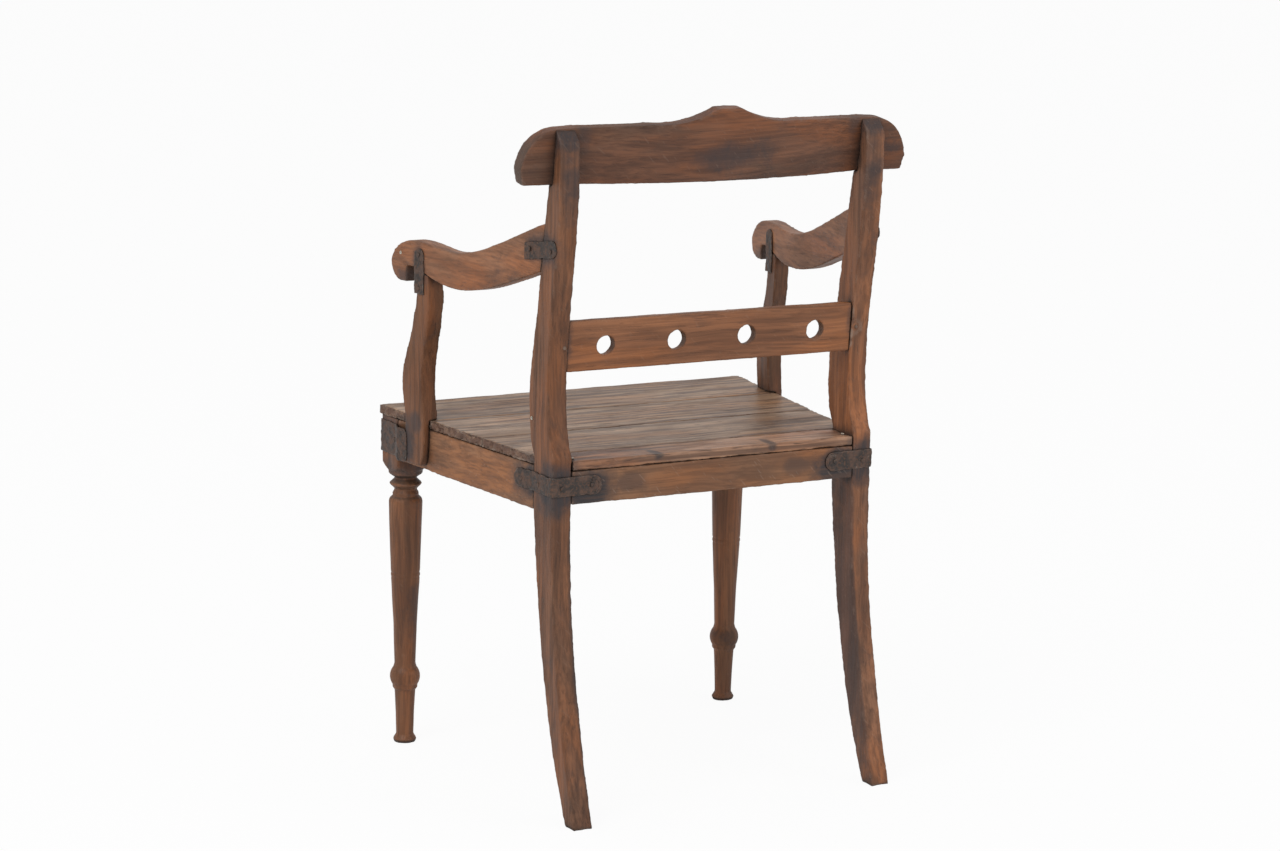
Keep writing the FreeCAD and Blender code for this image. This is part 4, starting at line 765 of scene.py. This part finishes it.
nailHead = {"radius": 0.0032, "depth": 0.0030, "bevel": 0.0009, "dent": 0.00035, "sides": 12, "seed": 4,
            "topSlack": 1e-5, "rubbedScale": 0.80}
ironNails = [
    ((0.2150, 0.1720, 0.4100), (0, 1, 0)), ((0.1740, 0.1720, 0.4122), (0, 1, 0)),
    ((0.2318, 0.0960, 0.4110), (0.994, 0.113, 0)), ((0.2290, 0.1350, 0.4100), (1, 0, 0)),
    ((0.2294, 0.1610, 0.6975), (1, 0, 0)), ((0.2345, 0.1150, 0.6960), (0.992, 0.126, 0)),
    ((0.2700, -0.1200, 0.6600), (0.988, 0.157, 0)), ((0.2700, -0.1195, 0.6180), (0.988, 0.157, 0)),
    ((0.2690, -0.1900, 0.4110), (1, 0, 0)), ((0.2450, -0.2352, 0.4110), (0, -1, 0)),
    ((0.2735, -0.1540, 0.4110), (0.988, 0.157, 0)),
]
rubbedNails = [
    ((0.2748, -0.1610, 0.6584), (0.988, 0.157, 0)), ((0.2277, 0.1146, 0.4885), (1, 0, 0)),
    ((0.1935, 0.1560, 0.4432), (0, 0, 1)),
]


def modelNail(name, scale):
    bpy.ops.object.select_all(action="DESELECT")
    bpy.ops.mesh.primitive_cylinder_add(vertices=nailHead["sides"], radius=nailHead["radius"] * scale,
                                        depth=nailHead["depth"] * scale)
    nail = bpy.context.object
    nail.name = name
    bpy.ops.object.mode_set(mode="EDIT")
    bpy.ops.mesh.select_all(action="DESELECT")
    shell = bmesh.from_edit_mesh(nail.data)
    top = nailHead["depth"] * scale / 2
    for face in shell.faces:
        face.select_set(all(point.co.z > top - nailHead["topSlack"] for point in face.verts))
    bmesh.update_edit_mesh(nail.data)
    bpy.ops.mesh.bevel(offset=nailHead["bevel"] * scale, segments=2)
    bpy.ops.mesh.select_all(action="SELECT")
    bpy.ops.transform.vertex_random(offset=nailHead["dent"] * scale, seed=nailHead["seed"])
    bpy.ops.object.mode_set(mode="OBJECT")
    applyModifier(nail, "SUBSURF", levels=1, render_levels=1)
    return nail


def driveNails(name, places, scale, material):
    nail = modelNail(name + ".head", scale)
    merge = bmesh.new()
    for centre, normal in places:
        for side in (1, -1):
            outwards = Vector((normal[0] * side, normal[1], normal[2]))
            turned = outwards.to_track_quat("Z", "Y").to_matrix().to_4x4()
            spot = Matrix.Translation((centre[0] * side, centre[1], centre[2])) @ turned
            head = nail.data.copy()
            head.transform(spot)
            merge.from_mesh(head)
            bpy.data.meshes.remove(head)
    piece = bpy.data.objects.new(name, bpy.data.meshes.new(name))
    bpy.context.scene.collection.objects.link(piece)
    merge.to_mesh(piece.data)
    merge.free()
    bpy.data.objects.remove(nail)
    piece.data.materials.append(material)
    piece.data.shade_smooth()
    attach(piece, "root")


# Clenched ends: the iron lip that curls round the nail at the tip of each rear strap

clenchedLip = {"major": 0.0062, "minor": 0.0013, "centre": (0.1700, 0.1718, 0.4120), "cutPlace": (0.0015, 0, 0),
               "cutNormal": (1, 0, -0.35), "stretch": (1.15, 0.75, 1.25), "dent": 0.0003, "seed": 7}


def addClenchedLips(material):
    bpy.ops.object.select_all(action="DESELECT")
    bpy.ops.mesh.primitive_torus_add(major_radius=clenchedLip["major"], minor_radius=clenchedLip["minor"],
                                     major_segments=40, minor_segments=10, rotation=(math.pi / 2, 0, 0))
    lip = bpy.context.object
    bpy.ops.object.transform_apply(location=True, rotation=True, scale=True)
    bpy.ops.object.mode_set(mode="EDIT")
    bpy.ops.mesh.select_all(action="SELECT")
    bpy.ops.mesh.bisect(plane_co=clenchedLip["cutPlace"], plane_no=clenchedLip["cutNormal"], clear_outer=True,
                        use_fill=True)
    bpy.ops.mesh.select_all(action="SELECT")
    bpy.ops.transform.resize(value=clenchedLip["stretch"])
    bpy.ops.transform.vertex_random(offset=clenchedLip["dent"], seed=clenchedLip["seed"])
    bpy.ops.object.mode_set(mode="OBJECT")
    mirrored = lip.copy()
    mirrored.data = lip.data.copy()
    mirrored.data.transform(Matrix.Scale(-1, 4, (1, 0, 0)))
    mirrored.data.flip_normals()
    bpy.context.scene.collection.objects.link(mirrored)
    centre = clenchedLip["centre"]
    for piece, side, hand in ((lip, 1, "left"), (mirrored, -1, "right")):
        piece.name = "clenchedLip." + hand
        piece.data.transform(Matrix.Translation((centre[0] * side, centre[1], centre[2])))
        piece.data.materials.append(material)
        piece.data.shade_smooth()
        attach(piece, "root")


addCamera()
addWorld()
addAreaLight("keyLight", studio["keyPlace"], studio["keySize"], studio["keyPower"])
addAreaLight("fillLight", studio["fillPlace"], studio["fillSize"], studio["fillPower"])
addFloor()
print("stage: camera, lights and floor")

blackenedIron = ironMaterial()
wearPieces(blackenedIron)
print("stage: worn pieces")

driveNails("strapNails", ironNails, 1.0, blackenedIron)
driveNails("rubbedNails", rubbedNails, nailHead["rubbedScale"], brightNailMaterial())
addClenchedLips(blackenedIron)
print("stage: nails")

bpy.context.scene.view_settings.view_transform = "Standard"
